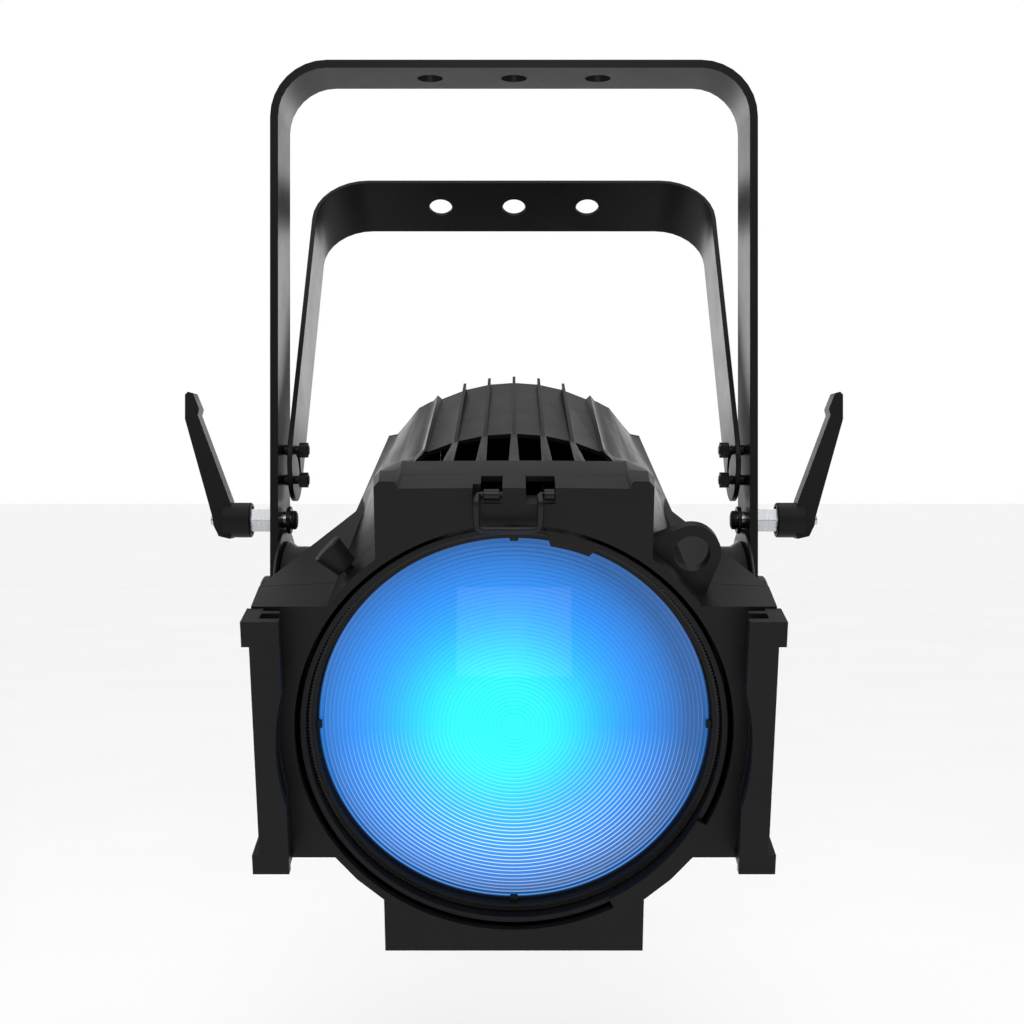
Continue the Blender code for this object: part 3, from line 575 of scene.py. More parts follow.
def glowing(name, stops, scale, strength):
    made = Material(name)
    pattern = made.ramp(made.noise(scale, 2), stops)
    made.feed("Emission Color", pattern)
    made.feed("Base Color", pattern)
    made.set(Emission_Strength=strength, Roughness=0.3)
    return made.material


def circuit_board(name):
    made = Material(name)
    tracks = made.add("ShaderNodeTexBrick", {
        "Scale": 90, "Mortar Size": 0.035, "Color1": (0.008, 0.09, 0.045, 1),
        "Color2": (0.012, 0.12, 0.06, 1), "Mortar": (0.05, 0.2, 0.1, 1), "Vector": made.place})
    made.feed("Base Color", tracks.outputs["Color"])
    made.feed("Roughness", made.spread(made.noise(50), 0.35, 0.5))
    return made.material


def materials():
    table = {
        "black_paint": (coated, (0.0075, 0.0075, 0.008), 0.38),
        "black_plastic": (coated, (0.009, 0.009, 0.0095), 0.46, 600, 0.00004),
        "black_steel": (coated, (0.02, 0.02, 0.021), 0.33, 1400, 0.00002, 0.6),
        "bright_steel": (bright_metal, (0.50, 0.51, 0.53), 0.24),
        "aluminium": (bright_metal, (0.66, 0.67, 0.68), 0.36, "y"),
        "lens_glass": (glowing_lens,),
        "emitter": (glowing, [(0.3, (0.1, 0.8, 1)), (0.7, (0.3, 1, 1))], 400, 1.5),
        "circuit_board": (circuit_board,),
        "screen_glass": (coated, (0.004, 0.006, 0.01), 0.12, 200, 0.00001),
        "reflector_silver": (bright_metal, (0.8, 0.8, 0.82), 0.14),
    }
    return {name: make(name, *values) for name, (make, *values) in table.items()}


# ---- yoke and floor bracket

def bar_outline(half, thick, radius, top, bottom):
    """A bent flat bar seen from the front: two arms and a top with round corners."""
    centre = half - radius
    inner = radius - thick
    left, right = (-centre, top - radius), (centre, top - radius)
    outer_side = arc(radius, 180, 90, 9, left) + arc(radius, 90, 0, 9, right)
    inner_side = arc(inner, 0, 90, 9, right) + arc(inner, 90, 180, 9, left)
    ends = half - thick
    feet = [(half, bottom), (ends, bottom)]
    return [(-half, bottom)] + outer_side + feet + inner_side + [(-ends, bottom)]


def arm_outline(top, end_centre):
    """A bar's arm seen from the side, with a round lower end."""
    rounded = arc(BAR_HALF, 0, -180, 25, (0, end_centre))
    return [(-BAR_HALF, top), (BAR_HALF, top)] + rounded


def bolt_holes(name, top, parent=None):
    holes = [
        rod(f"{name}_{i}", HOLE_R, top - 20, top + 10, "v", parent, 32, (x, 0, 0))
        for i, x in enumerate((-HOLE_PITCH, 0, HOLE_PITCH))
    ]
    return merged(name, holes)


def hanging_yoke():
    outline = bar_outline(YOKE_HALF, YOKE_THICK, YOKE_RADIUS, 0, PIVOT_Z - BAR_HALF - 4)
    yoke = prism("hanging_yoke", [outline], -BAR_HALF, BAR_HALF, "xv")
    bores = [
        circle(PIVOT_BORE_R, (0, PIVOT_Z)),
        circle(CLAMP_BORE_R, (0, CLAMP_Z)),
        circle(STUD_R + GAP, (0, BRACKET_Z), 16),
        circle(STUD_R + GAP, (0, BRACKET_Z + SLOT_RADIUS), 16)]
    side = prism(
        "yoke_side", [arm_outline(10, PIVOT_Z)] + bores, -YOKE_HALF - 10, YOKE_HALF + 10, "uv")
    keep(yoke, side)
    cut(yoke, bolt_holes("yoke_bolt_holes", 0))
    paint(yoke, "black_paint")


def arc_slot():
    reach = BRACKET_LEAN + SLOT_MARGIN
    first, last = 90 - reach, 90 + reach
    tip = lambda angle: (
        SLOT_RADIUS * cos(radians(angle)), SLOT_RADIUS * sin(radians(angle)))
    return (
        arc(SLOT_RADIUS + SLOT_HALF_WIDTH, first, last, 12)
        + arc(SLOT_HALF_WIDTH, last, last + 180, 7, tip(last))[1:-1]
        + arc(SLOT_RADIUS - SLOT_HALF_WIDTH, last, first, 12)
        + arc(SLOT_HALF_WIDTH, first + 180, first + 360, 7, tip(first))[1:-1])


def floor_bracket():
    outline = bar_outline(BRACKET_HALF, BRACKET_THICK, BRACKET_RADIUS, BRACKET_HEIGHT, -20)
    bracket = prism("floor_bracket", [outline], -BAR_HALF, BAR_HALF, "xv")
    arm = arm_outline(BRACKET_HEIGHT + 10, FOOT_CENTRE)
    loops = [arm, circle(STUD_R + GAP, sides=16), arc_slot()]
    side = prism("bracket_side", loops, -BRACKET_HALF - 10, BRACKET_HALF + 10, "uv")
    holes = bolt_holes("bracket_bolt_holes", BRACKET_HEIGHT)
    for obj in (bracket, side, holes):
        obj.location = (0, 0, BRACKET_Z * MM)
        obj.rotation_euler = (radians(-BRACKET_LEAN), 0, 0)
    keep(bracket, side)
    cut(bracket, holes)
    paint(bracket, "black_paint")


def bracket_fixings():
    shoulder_in, shoulder_out = BRACKET_HALF + GAP, YOKE_HALF - YOKE_THICK - GAP
    nut_out = BRACKET_HALF - BRACKET_THICK - 2
    nut_in = nut_out - 5.5
    tip, end = nut_in - 0.6, YOKE_HALF - 0.2
    profile = [
        (0, end), (STUD_R, end), (STUD_R, shoulder_out), (3.2, shoulder_out), (3.2, shoulder_in),
        (STUD_R, shoulder_in), (STUD_R, tip), (0, tip)]
    nut_loops = [hexagon(NUT_FLATS, 30), circle(STUD_R + GAP, sides=16)]
    for hand, side in SIDES:
        for level, z in (("lower", BRACKET_Z), ("upper", BRACKET_Z + SLOT_RADIUS)):
            stud = turned(f"bracket_stud_{level}_{hand}", profile, "x", steps=16)
            nut = prism(f"lock_nut_{level}_{hand}", nut_loops, nut_in, nut_out, "uv")
            for piece, width in ((stud, 0.4), (nut, 0.8)):
                placed(on_side(piece, side), (0, 0, z), "black_steel", width)


def pivots():
    cap_in, cap_out = YOKE_HALF + GAP, YOKE_HALF + 8
    nut_out = 126.6
    profile = [
        (0, cap_out), (20, cap_out), (21.5, cap_out - 1.5), (21.5, cap_in), (PIVOT_R, cap_in),
        (PIVOT_R, nut_out - 10), (0, nut_out - 10)]
    for hand, side in SIDES:
        bolt = turned(f"pivot_bolt_{hand}", profile, "x")
        recess = prism(
            f"pivot_recess_{hand}", [hexagon(10)], cap_out - 4.5, cap_out + 2, "uv")
        nut = prism(
            f"pivot_nut_{hand}", [hexagon(19), circle(PIVOT_R + GAP)], nut_out - 8, nut_out, "uv")
        for piece in (bolt, nut, recess):
            placed(on_side(piece, side), (0, 0, PIVOT_Z), "black_steel")
        cut(bolt, recess)


def clamp_lever(hand, side):
    """The adjustable handle: a hub with a hex pocket, and an arm that leans outwards."""
    name = f"clamp_lever_{hand}"
    hub_profile = [
        (0, 172), (HUB_R, 172), (HUB_R, HUB_INNER + 0.6), (HUB_R - 0.6, HUB_INNER), (0, HUB_INNER)]
    lever = turned(name, hub_profile, "x", steps=32)
    arm_points = [
        (168, 11), (187.2, 62.3), (186.3, 66), (190.1, 75.4), (193.1, 76.2), (194.8, 74.5),
        (194.8, 60), (178.6, 2.1), (177.9, -3), (174.8, -9.4), (168, -11)]
    arm = prism(f"{name}_arm", [arm_points], -LEVER_HALF_THICK, LEVER_HALF_THICK, "xv")
    socket = rod(f"{name}_socket", 8.1, HUB_INNER - 2, 162.5, "x")
    pocket = rod(f"{name}_pocket", 5.8, 170, 190, "x")
    bore = rod(f"{name}_bore", 4.1, 160, 171, "x")
    for piece in (lever, arm, socket, pocket, bore):
        placed(on_side(piece, side), (0, 0, CLAMP_Z))
    join(lever, arm)
    cut(lever, socket, pocket, bore)
    paint(lever, "black_plastic")


def clamps():
    hex_in, hex_out = YOKE_HALF + 0.5, 158
    shaft_in, shaft_out = 129.8, 173.5
    pad_in, pad_out = 132.5, 134.9
    screw_in, screw_out = 174.9, 180.5
    shaft = [
        (0, 165), (2.7, 165), (2.7, shaft_out), (3.7, shaft_out), (3.7, 157), (CLAMP_R, 157),
        (CLAMP_R, shaft_in), (0, shaft_in)]
    screw = [
        (0, screw_out), (2.8, screw_out), (2.8, 176.6), (5.3, 176.6), (5.3, screw_in),
        (2.4, screw_in), (2.4, 165.6), (0, 165.6)]
    stud_cap = [(0, 129.2), (4.4, 129.2), (5.6, 130), (5.6, 132.3), (0, 132.3)]
    for hand, side in SIDES:
        stud = turned(f"clamp_stud_{hand}", shaft, "x")
        insert = prism(f"clamp_insert_{hand}", [hexagon(INSERT_FLATS)], hex_in, hex_out, "uv")
        pad = ring(f"clamp_pad_{hand}", CLAMP_R + GAP, 8.2, pad_in, pad_out, "x")
        end = turned(f"lever_screw_{hand}", screw, "x")
        finishes = ("bright_steel", None, "black_steel", "bright_steel")
        for piece, finish in zip((stud, insert, pad, end), finishes):
            placed(on_side(piece, side), (0, 0, CLAMP_Z), finish)
        join(stud, insert)
        cap = on_side(turned(f"stud_cap_{hand}", stud_cap, "x"), side)
        extra(placed(cap, (0, 0, CLAMP_Z)), f"clamp_{hand}", "black_plastic")
        clamp_lever(hand, side)


# ---- head outlines

def along(at, knots):
    """The values at a place between knots of (place, value, ...), such as (u, x, v)."""
    if at <= knots[0][0]:
        return knots[0][1:]
    for (first, *start), (last, *end) in zip(knots, knots[1:]):
        if at <= last:
            share = (at - first) / (last - first)
            return tuple(a + (b - a) * share for a, b in zip(start, end))
    return knots[-1][1:]


# Feature lines of the right half, from the roof's ridge down to the bottom's middle.
RIDGE = [(BLOCK_U, 53.5, 131.35), (ROOF_U, 53.5, 113), (BACK_U, 54.5, 109)]
GUTTER = [(BLOCK_U, 57, 131.3), (ROOF_U, 56, 109.2), (BACK_U, 57.5, 105)]
LUMP_IN = [(0, 58.5, 135), (25, 58.5, 134.2), (BLOCK_U, 58.7, 131.9), (ROOF_U, 58.5, 108.3),
           (BACK_U, 60, 104)]
LUMP_OUT = [(0, 66.5, 135), (25, 68, 133.6), (BLOCK_U, 69.1, 129.4), (ROOF_U, 66, 104),
            (BACK_U, 66, 100.7)]
CORNER = [(0, 69, 132), (25, 71.3, 130.5), (BLOCK_U, 74, 121), (ROOF_U, 79, 101.5),
          (161, 68, 100.6), (BACK_U, 68, 99.8)]
SIDE_LOW = [
    (0, 69, 94.9), (146, 83.6, 95.6), (ROOF_U, 82.6, 98), (161, 74, 97), (BACK_U, 74, 92.3)]
CHEEK_A = [
    (0, 77.9, 87.7), (146, 83.7, 94.6), (ROOF_U, 83.5, 95), (161, 78, 94.5), (BACK_U, 78, 87.3)]
CHEEK_B = [
    (0, 86.4, 79.3), (146, 83.75, 93.4), (ROOF_U, 83.8, 93.2), (161, 81, 92.6), (BACK_U, 81, 83.8)]
CREASE = [(0, 94.1, 70), (146, 83.8, 92.2), (161, 83.8, 90.8), (BACK_U, 83.8, 80.5)]
EDGE = [(0, 132, 70), (25, 132, 72), (111, 90.4, 87.6), (BACK_U, 90.2, 79.2)]
EDGE_LOW = [(25, 132, -70), (111, 90.4, -68), (BACK_U, 90.2, -64)]
HAUNCH_A = [(25, 94.1, -70), (111, 86, -76), (BACK_U, 84, -72)]
HAUNCH_B = [(25, 82.9, -83), (111, 79, -86), (BACK_U, 76, -83)]
FOOT_TOP = [(25, 69, -94.9), (111, 69.5, -97), (BACK_U, 67, -93)]
FOOT = [(25, 69, -125.6), (BACK_U, 66, -112)]
BOTTOM = [(25, 0, -125.6), (BACK_U, 0, -112)]

OUTER_LINES = (RIDGE, GUTTER, LUMP_IN, LUMP_OUT, CORNER, SIDE_LOW, CHEEK_A, CHEEK_B, CREASE, EDGE,
               EDGE_LOW, HAUNCH_A, HAUNCH_B, FOOT_TOP, FOOT)
CAVITY_LINES = OUTER_LINES[3:6] + OUTER_LINES[8:]  # without the roof's edges and the cheeks
SHELL_STATIONS = (25.3, BLOCK_U, 111, 146, ROOF_U, 161, BACK_U)


def crown(x, u):
    """Height of the block's flat top, which becomes the round roof behind the vents."""
    share = min(max((u - BLOCK_U) / (ROOF_U - BLOCK_U), 0), 1)
    back = min(max((u - ROOF_U) / (BACK_U - ROOF_U), 0), 1)
    radius = ROOF_R_FRONT + (ROOF_R_BACK - ROOF_R_FRONT) * back
    flat = BLOCK_V + 0.3 * (1 - (x / 52) ** 2)
    return flat + (sqrt(radius * radius - x * x) - flat) * share


def outline_at(u, lines):
    right = [(x, crown(x, u)) for x in (FIN_PITCH, 2 * FIN_PITCH, 51.5)]
    right += [along(u, line) for line in lines]
    left = [(-x, v) for x, v in reversed(right)]
    return [(0, crown(0, u))] + right + [along(u, BOTTOM)] + left


def inset(points, depth):
    """The outline moved inwards by depth; the points run clockwise."""
    moved = []
    count = len(points)
    for i, (x, v) in enumerate(points):
        (x0, v0), (x1, v1) = points[i - 1], points[(i + 1) % count]
        before, after = hypot(x - x0, v - v0), hypot(x1 - x, v1 - v)
        nx0, nv0 = (v - v0) / before, -(x - x0) / before
        nx1, nv1 = (v1 - v) / after, -(x1 - x) / after
        scale = depth / (1 + nx0 * nx1 + nv0 * nv1)
        moved.append((x + (nx0 + nx1) * scale, v + (nv0 + nv1) * scale))
    return moved


def cavity(name, stations, wall, head, low, high):
    """The space inside the shell, running past both of its ends."""
    sections = [(u, inset(outline_at(u, CAVITY_LINES), wall)) for u in stations]
    sections[0] = (low, sections[0][1])
    sections[-1] = (high, sections[-1][1])
    return loft(name, sections, head)


# ---- head, outside

def opening_outline():
    """The front opening, with the sector that stops the zoom tab standing in from its edge."""
    wide = arc(OPENING_R, STOP_TO, STOP_FROM + 360, 86)
    return wide + arc(STOP_R, STOP_FROM + 360, STOP_TO + 360, 12)


def eyelet(head):
    """The eye for the safety cable, with webs to the block's side and to the shoulder."""
    centre, outer, hole = (90.5, 92.7), 14.9, 9.3
    outline = [(68, 100)] + arc(outer, 118, -30, 16, centre)
    outline += [(98.6, 72), (98, 70), (86, 70), (68, 86)]
    return prism("eyelet", [outline, circle(hole, centre)], 16, 24, "xv", head)


def latch_recess(head):
    """Two notches in the block's front edge, and the bore that the wire latch turns in."""
    notch_left = block("latch_notch_left", (-16.6, -1, 123.4), (-5.7, 23, 140), head)
    leg_slot = block("latch_leg_slot", (-20.4, -2, 123.3), (-16.4, 8, 141), head)
    notch_right = block("latch_notch_right", (5.8, -1, 123.4), (20.4, 23, 140), head)
    bore = rod("latch_bore", 2.1, -7, 27, "x", head, 16, (0, LATCH_U, LATCH_V))
    return (notch_left, leg_slot, notch_right, bore)


def at_knob(obj):
    """Turns a piece from the v axis to the lock knob's axis."""
    obj.rotation_euler = (0, radians(90 - KNOB_ANGLE), 0)
    return placed(obj, (0, KNOB_U, 0))


def front_frame(head):
    piece = loft("front_frame", [(u, outline_at(u, OUTER_LINES)) for u in (0, FRAME_DEPTH)], head)
    inside = cavity("cavity", (0, FRAME_DEPTH), 3, head, PLATE_THICK, FRAME_DEPTH + 2)
    solid_top = block("bridge", (-30, 1, 113.5), (30, 16, 130), head)
    opening = prism("opening", [opening_outline()], -2, PLATE_THICK + 2, "xv", head)
    clear = rod("clear", OPENING_R, PLATE_THICK - 1, FRAME_DEPTH + 4, "u", head, ROUND)
    cut(piece, inside)
    join(piece, eyelet(head), solid_top)
    cut(piece, opening, clear)
    knob_hole = rod("knob_hole", 2.9, 100, 135, "v", head, 16)
    cut(piece, *latch_recess(head), at_knob(knob_hole))
    paint(piece, "black_paint", 0.9)


def accessory_rail(head, hand, side):
    """Two slots that open towards the middle, held by an outer wall and closed at the bottom."""
    top, bottom = 69.2, -68.4
    profile = [
        (130.2, -20), (115.2, -20), (115.2, -15), (125.5, -15), (125.5, -7.5), (116.5, -7.5),
        (116.5, -4.1), (125.5, -4.1), (125.5, -GAP), (130.2, -GAP)]
    name = f"accessory_rail_{hand}"
    rail = prism(name, [profile], bottom, top, "xu", head)
    ends = [
        block(f"{name}_top", (129, -20, 56), (134, -GAP, top), head),
        block(f"{name}_end", (129, -20, bottom), (134, -GAP, -57.5), head),
        block(f"{name}_stop", (116, -19, bottom), (130, -0.6, -64.5), head)]
    relief = rod(f"{name}_relief", 119.4, -24, 4, "u", head, ROUND)
    for piece in [rail] + ends:
        on_side(piece, side)
    join(rail, *ends)
    cut(rail, relief)
    paint(rail, "black_paint", 0.9)


def shell_half(head, name, low, high):
    shell = loft(name, [(u, outline_at(u, OUTER_LINES)) for u in SHELL_STATIONS], head)
    inside = cavity(f"{name}_cavity", SHELL_STATIONS, WALL, head, 20, BACK_U + 5)
    cut(shell, inside)
    keep(shell, block(f"{name}_part", (-160, 0, low), (160, BACK_U + 20, high), head))
    return shell


def vent_cutters(head):
    """The gaps between the ribs, which taper from the block to the roof."""
    front, back = BLOCK_U + 0.8, ROOF_U - 1
    cutters = []
    gaps = ((FIN_PITCH, 2.8, 1.75), (2 * FIN_PITCH, 2.8, 1.75), (54.5, 2, 2))
    for i, (far, rib_front, rib_back) in enumerate(gaps):
        near = i * FIN_PITCH
        gap = [
            (near + 2.8, front), (far - rib_front, front), (far - rib_back, back),
            (near + 1.75, back)]
        for side in (-1, 1):
            loop = [(side * x, u) for x, u in gap]
            cutters.append(prism(f"vent_{i}_{side}", [loop], 100, 142, "xu", head))
    return merged("vents", cutters)


def roof_fins(head):
    fins = []
    for i in range(-2, 3):
        x = i * FIN_PITCH
        top = sqrt(FIN_R ** 2 - x * x)
        front, back = crown(x, ROOF_U), crown(x, BACK_U)
        side = [
            (148, front - 1), (ROOF_U + 3, top), (BACK_U, top), (BACK_U, back - 1.2),
            (160, front - 1.4)]
        fins.append(prism(f"fin_{i}", [side], x - 1, x + 1, "uv", head))
    return merged("roof_fins", fins)


def housing(head):
    top = shell_half(head, "housing_top", SEAM_V + GAP / 2, 150)
    cut(top, vent_cutters(head))
    join(top, roof_fins(head))
    base = shell_half(head, "housing_base", -150, SEAM_V - GAP / 2)
    for hand, side in SIDES:
        seat = rod(f"hub_seat_{hand}", HUB_BOSS_R + 0.4, 90.5, 140, "x", head, 48)
        on_side(seat, side)
        seat.data.transform(Matrix.Translation((0, PIVOT_U * MM, PIVOT_V * MM)))
        cut(base, seat)
        cut(top, seat)
    paint(top, "black_paint")
    paint(base, "black_paint")


# Rear panel: centres and sizes in (x, v)
DISPLAY = (-26, 74, 27, 14.5)
BUTTONS = {"up": (26, 82), "down": (26, 66), "menu": (46, 82), "enter": (46, 66)}
BUTTON_R = 5
SOCKETS = {"power_inlet": -51, "power_outlet": -17, "data_inlet": 17, "data_outlet": 51}
SOCKET_V = -84
SOCKET_R = 12
FUSE = (66, -46, 7.5)
GRILLE_R = 43
PANEL_FRONT, PANEL_U = BACK_U + GAP, BACK_U + 4.3


def round_display(margin=0):
    x, v, half, tall = DISPLAY
    return rectangle(x - half - margin, v - tall - margin, x + half + margin, v + tall + margin)


def rear_cover(head):
    loops = [outline_at(BACK_U, OUTER_LINES), round_display()]
    loops += [circle(BUTTON_R + 0.4, spot) for spot in BUTTONS.values()]
    loops += [circle(SOCKET_R + 0.4, (x, SOCKET_V), 32) for x in SOCKETS.values()]
    loops.append(circle(FUSE[2] + 0.4, FUSE[:2]))
    for row in range(-3, 4):
        height = row * 12
        reach = sqrt(GRILLE_R ** 2 - height ** 2)
        for left, right in ((-reach, -3), (3, reach)):
            loops.append(rectangle(left, height - 3, right, height + 3))
    paint(prism("rear_cover", loops, PANEL_FRONT, PANEL_U, "xv", head), "black_paint")


def rear_controls(head):
    x, v, half, tall = DISPLAY
    screen = block(
        "display", (x - half + GAP, BACK_U - 4, v - tall + GAP),
        (x + half - GAP, PANEL_U - 0.8, v + tall - GAP),
        head)
    paint(screen, "screen_glass")
    for name, (x, v) in BUTTONS.items():
        cap = rod(f"button_{name}", BUTTON_R, BACK_U - 3, PANEL_U + 2.2, "u", head)
        placed(cap, (x, 0, v), "black_plastic")
    for name, x in SOCKETS.items():
        bore = 8.5 if name.startswith("power") else 7.8
        profile = [
            (0, BACK_U - 9), (bore, BACK_U - 9), (bore, PANEL_U + 2.4), (14.4, PANEL_U + 2.4),
            (14.4, PANEL_U + GAP), (SOCKET_R, PANEL_U + GAP), (SOCKET_R, BACK_U - 14),
            (0, BACK_U - 14)]
        placed(turned(name, profile, "u", head, 32), (x, 0, SOCKET_V), "black_plastic")
    fuse = turned(
        "fuse_holder",
        [(0, PANEL_U + 7), (6.5, PANEL_U + 7), (7.5, PANEL_U + 6), (7.5, PANEL_U + GAP + 0.1),
         (7.5, BACK_U - 20), (0, BACK_U - 20)],
        "u", head, 32)
    placed(fuse, (FUSE[0], 0, FUSE[1]), "black_plastic")


def pivot_hubs(head):
    hub_profile = [
        (PIVOT_BORE_R, 134.9), (41.8, 134.9), (42.6, 134.1), (39, 129.2), (HUB_BOSS_R, 129),
        (HUB_BOSS_R, 90.8), (35, 90.8), (35, 124), (32, 127), (PIVOT_BORE_R, 127)]
    for hand, side in SIDES:
        hub = turned(f"pivot_hub_{hand}", hub_profile, "x", head, 48)
        disc = ring(f"brake_disc_{hand}", PIVOT_BORE_R, 49.5, 135.25, 136.65, "x", head, 64)
        for piece, finish in ((hub, "black_paint"), (disc, "black_steel")):
            placed(on_side(piece, side), (0, PIVOT_U, PIVOT_V), finish)


def latch(head):
    """The wire bail over the accessory slots, with both ends turned to the right."""
    left, right, front, low = -18.4, 12.9, -12.6, -14.2
    bend = 3

    def corner(x):
        return [(x, front + bend, 0), (x, front + bend * 0.3, -bend * 0.3), (x, front, -bend)]

    path = (
        [(-2.6, 0, 0), (left + 2.4, 0, 0), (left + 0.5, -0.6, 0), (left, -2.6, 0)]
        + corner(left)
        + [(left, front, low + bend), (left + bend * 0.3, front, low + bend * 0.3)]
        + [(left + bend, front, low), (right - bend, front, low)]
        + [(right - bend * 0.3, front, low + bend * 0.3), (right, front, low + bend)]
        + list(reversed(corner(right)))
        + [(right, -2.6, 0), (right + 0.5, -0.6, 0), (right + 2.4, 0, 0), (26, 0, 0)])
    curve = bpy.data.curves.new("latch_bail", "CURVE")
    curve.dimensions = "3D"
    curve.bevel_depth = 1.75 * MM
    curve.bevel_resolution = 2
    curve.use_fill_caps = True
    poly(curve, path)
    bail = add("latch_bail", baked(linked("latch_bail", curve)), head)
    placed(bail, (0, LATCH_U, LATCH_V), "black_steel")


def lock_knob(head):
    profile = [
        (0, 135.2), (7.4, 135.2), (8.3, 134.2), (6.1, 120.6), (2.5, 120.6), (2.5, 112.2),
        (0, 112.2)]
    paint(at_knob(turned("lock_knob", profile, "v", head)), "black_plastic")


# ---- head, inside

def lens_face(radius):
    """Depth of the lens's domed front at a radius."""
    return along(radius, [(0, 11.6), (40, 11.9), (70, 12.7), (92, 13.5), (LENS_R, 15.5)])[0]


def lens_profile():
    """The flat back, the rim, and the front with its ring-shaped prisms."""
    front = [(0, 11.7)]
    radius = GROOVE_START
    front += [(radius * 0.5, 11.75), (radius, lens_face(radius))]
    while radius + GROOVE_PITCH < LENS_R - 3:
        for share in (RISER, 0.35, 0.55, 0.72, 0.87, 1):
            spot = radius + GROOVE_PITCH * share
            climb = (share - RISER) / (1 - RISER)
            front.append((spot, lens_face(spot) + GROOVE_DEPTH * (1 - climb ** 2)))
        radius += GROOVE_PITCH
    front += [(LENS_R - 2.6, lens_face(LENS_R - 2.6) + 0.1), (LENS_R - 0.5, 15.3), (LENS_R, 15.9)]
    return [(0, 19), (LENS_R, 19)] + list(reversed(front))


def optics(head):
    barrel_profile = [
        (BARREL_OUT_R, 3), (BARREL_OUT_R, 28), (113.5, 28), (113.5, 31), (BARREL_OUT_R, 31),
        (BARREL_OUT_R, 48), (BARREL_IN_R, 48), (BARREL_IN_R, 3)]
    paint(turned("lens_barrel", barrel_profile, "u", head, ROUND), "black_paint")
    zoom = ring("zoom_ring", ZOOM_IN_R, ZOOM_OUT_R, 9, 24, "u", head, ROUND)
    reach = 7.4
    outline = arc(110.9, TAB_ANGLE - reach, TAB_ANGLE + reach, 9) + arc(
        103.3, TAB_ANGLE + reach - 1.9, TAB_ANGLE - reach + 1.9, 7)
    tab = prism("zoom_tab", [outline], -0.2, 2.4, "xv", head)
    web = arc(ZOOM_OUT_R - 0.2, TAB_ANGLE - 5, TAB_ANGLE + 5, 7) + arc(
        ZOOM_IN_R + 0.2, TAB_ANGLE + 5, TAB_ANGLE - 5, 7)
    join(tab, prism("zoom_web", [web], 1.5, 10.5, "xv", head))
    join(zoom, tab)
    paint(zoom, "black_paint")
    lens = turned("fresnel_lens", lens_profile(), "u", head, ROUND)
    paint(lens, "lens_glass", 0)
    carrier = [(LENS_R, 19.3), (LENS_R, 28), (98.5, 28), (98.5, 24), (95, 22), (95, 19.3)]
    paint(turned("lens_carrier", carrier, "u", head, ROUND), "aluminium")
    cone = [(66, 122), (69, 122), (69, 125), (26.5, 225), (24.5, 225), (66, 125.4)]
    paint(turned("mixing_reflector", cone, "u", head, 48), "reflector_silver")


def led_engine(head):
    profile = [(0, 229), (20, 229), (23, 230.5), (23, 232.9), (0, 232.9)]
    paint(turned("led_engine", profile, "u", head, 32), "emitter")
    paint(block("led_board", (-30, 233.2, -30), (30, 235.7, 30), head), "circuit_board")
    count, pitch, thick = 11, 10, 2.4
    half = (count - 1) * pitch / 2 + thick / 2
    comb = [(half, 236), (half, 300)]
    for i in range(count):
        x = (count - 1) * pitch / 2 - i * pitch
        if i:
            comb += [(x + thick / 2, 244), (x + thick / 2, 300)]
        comb.append((x - thick / 2, 300))
        if i < count - 1:
            comb.append((x - thick / 2, 244))
    comb.append((-half, 236))
    paint(prism("heat_sink", [comb], -52, 52, "xu", head), "aluminium")


def fan(head):
    low, high = 304, 327
    frame_piece = prism(
        "fan_frame", [rectangle(-46, -46, 46, 46), circle(43, sides=48)], low, high, "xv", head)
    cross = block("fan_cross", (-45, 324, -3), (45, high - 0.2, 3), head)
    upright = block("fan_upright", (-3, 323.9, -45), (3, high - 0.3, 45), head)
    hub = rod("fan_motor", 17, 323.6, high, "u", head, 32)
    join(frame_piece, cross, upright, hub)
    paint(frame_piece, "black_plastic")
    rotor = rod("fan_rotor", 17.5, 306, 322.8, "u", head, 32)
    blades = []
    for i in range(7):
        blade = block(f"blade_{i}", (14, -6.5, -0.9), (41.5, 6.5, 0.9), head)
        turn = Matrix.Rotation(radians(360 / 7 * i), 4, "Y")
        pitch = Matrix.Rotation(radians(52), 4, "X")
        blade.data.transform(Matrix.Translation((0, 0.3144, 0)) @ turn @ pitch)
        blades.append(blade)
    join(rotor, merged("fan_blades", blades))
    paint(rotor, "black_plastic")


def electronics(head):
    paint(block("power_supply", (-55, 120, -108), (55, 285, -74), head), "aluminium")
    board = block("driver_board", (-48, 200, 84), (48, 310, 85.8), head)
    parts = [
        block("driver_block", (-40, 215, 78), (-10, 245, 84.5), head),
        block("driver_chip", (5, 225, 80), (35, 255, 84.5), head),
        block("driver_coil", (-30, 265, 76), (-5, 290, 84.5), head)]
    join(board, *parts)
    paint(board, "circuit_board")


# ---- small details

def lens_details(head):
    """The ring and clips that hold the lens, and the fine teeth round the zoom ring."""
    pieces = [ring("lens_retainer", 101.9, 102.8, 14.3, 15.2, "u", head, ROUND)]
    for angle in (0, 90, 180, 270):
        clip = arc(102.7, angle - 1.4, angle + 1.4, 5) + arc(100.4, angle + 1.1, angle - 1.1, 5)
        pieces.append(prism(f"clip_{angle}", [clip], 12.9, 14.9, "xv", head))
    extra(merged("lens_retainer", pieces), "lens_carriage", "black_plastic", 0)
    teeth = []
    for i in range(4 * TEETH):
        radius, turn = (106.2, 107, 107, 106.2)[i % 4], tau / (4 * TEETH) * i
        teeth.append((radius * cos(turn), radius * sin(turn)))
    geared = prism("zoom_teeth", [teeth, circle(105.2, sides=ROUND)], 8.4, 10, "xv", head)
    extra(geared, "zoom_ring", "black_steel", 0)


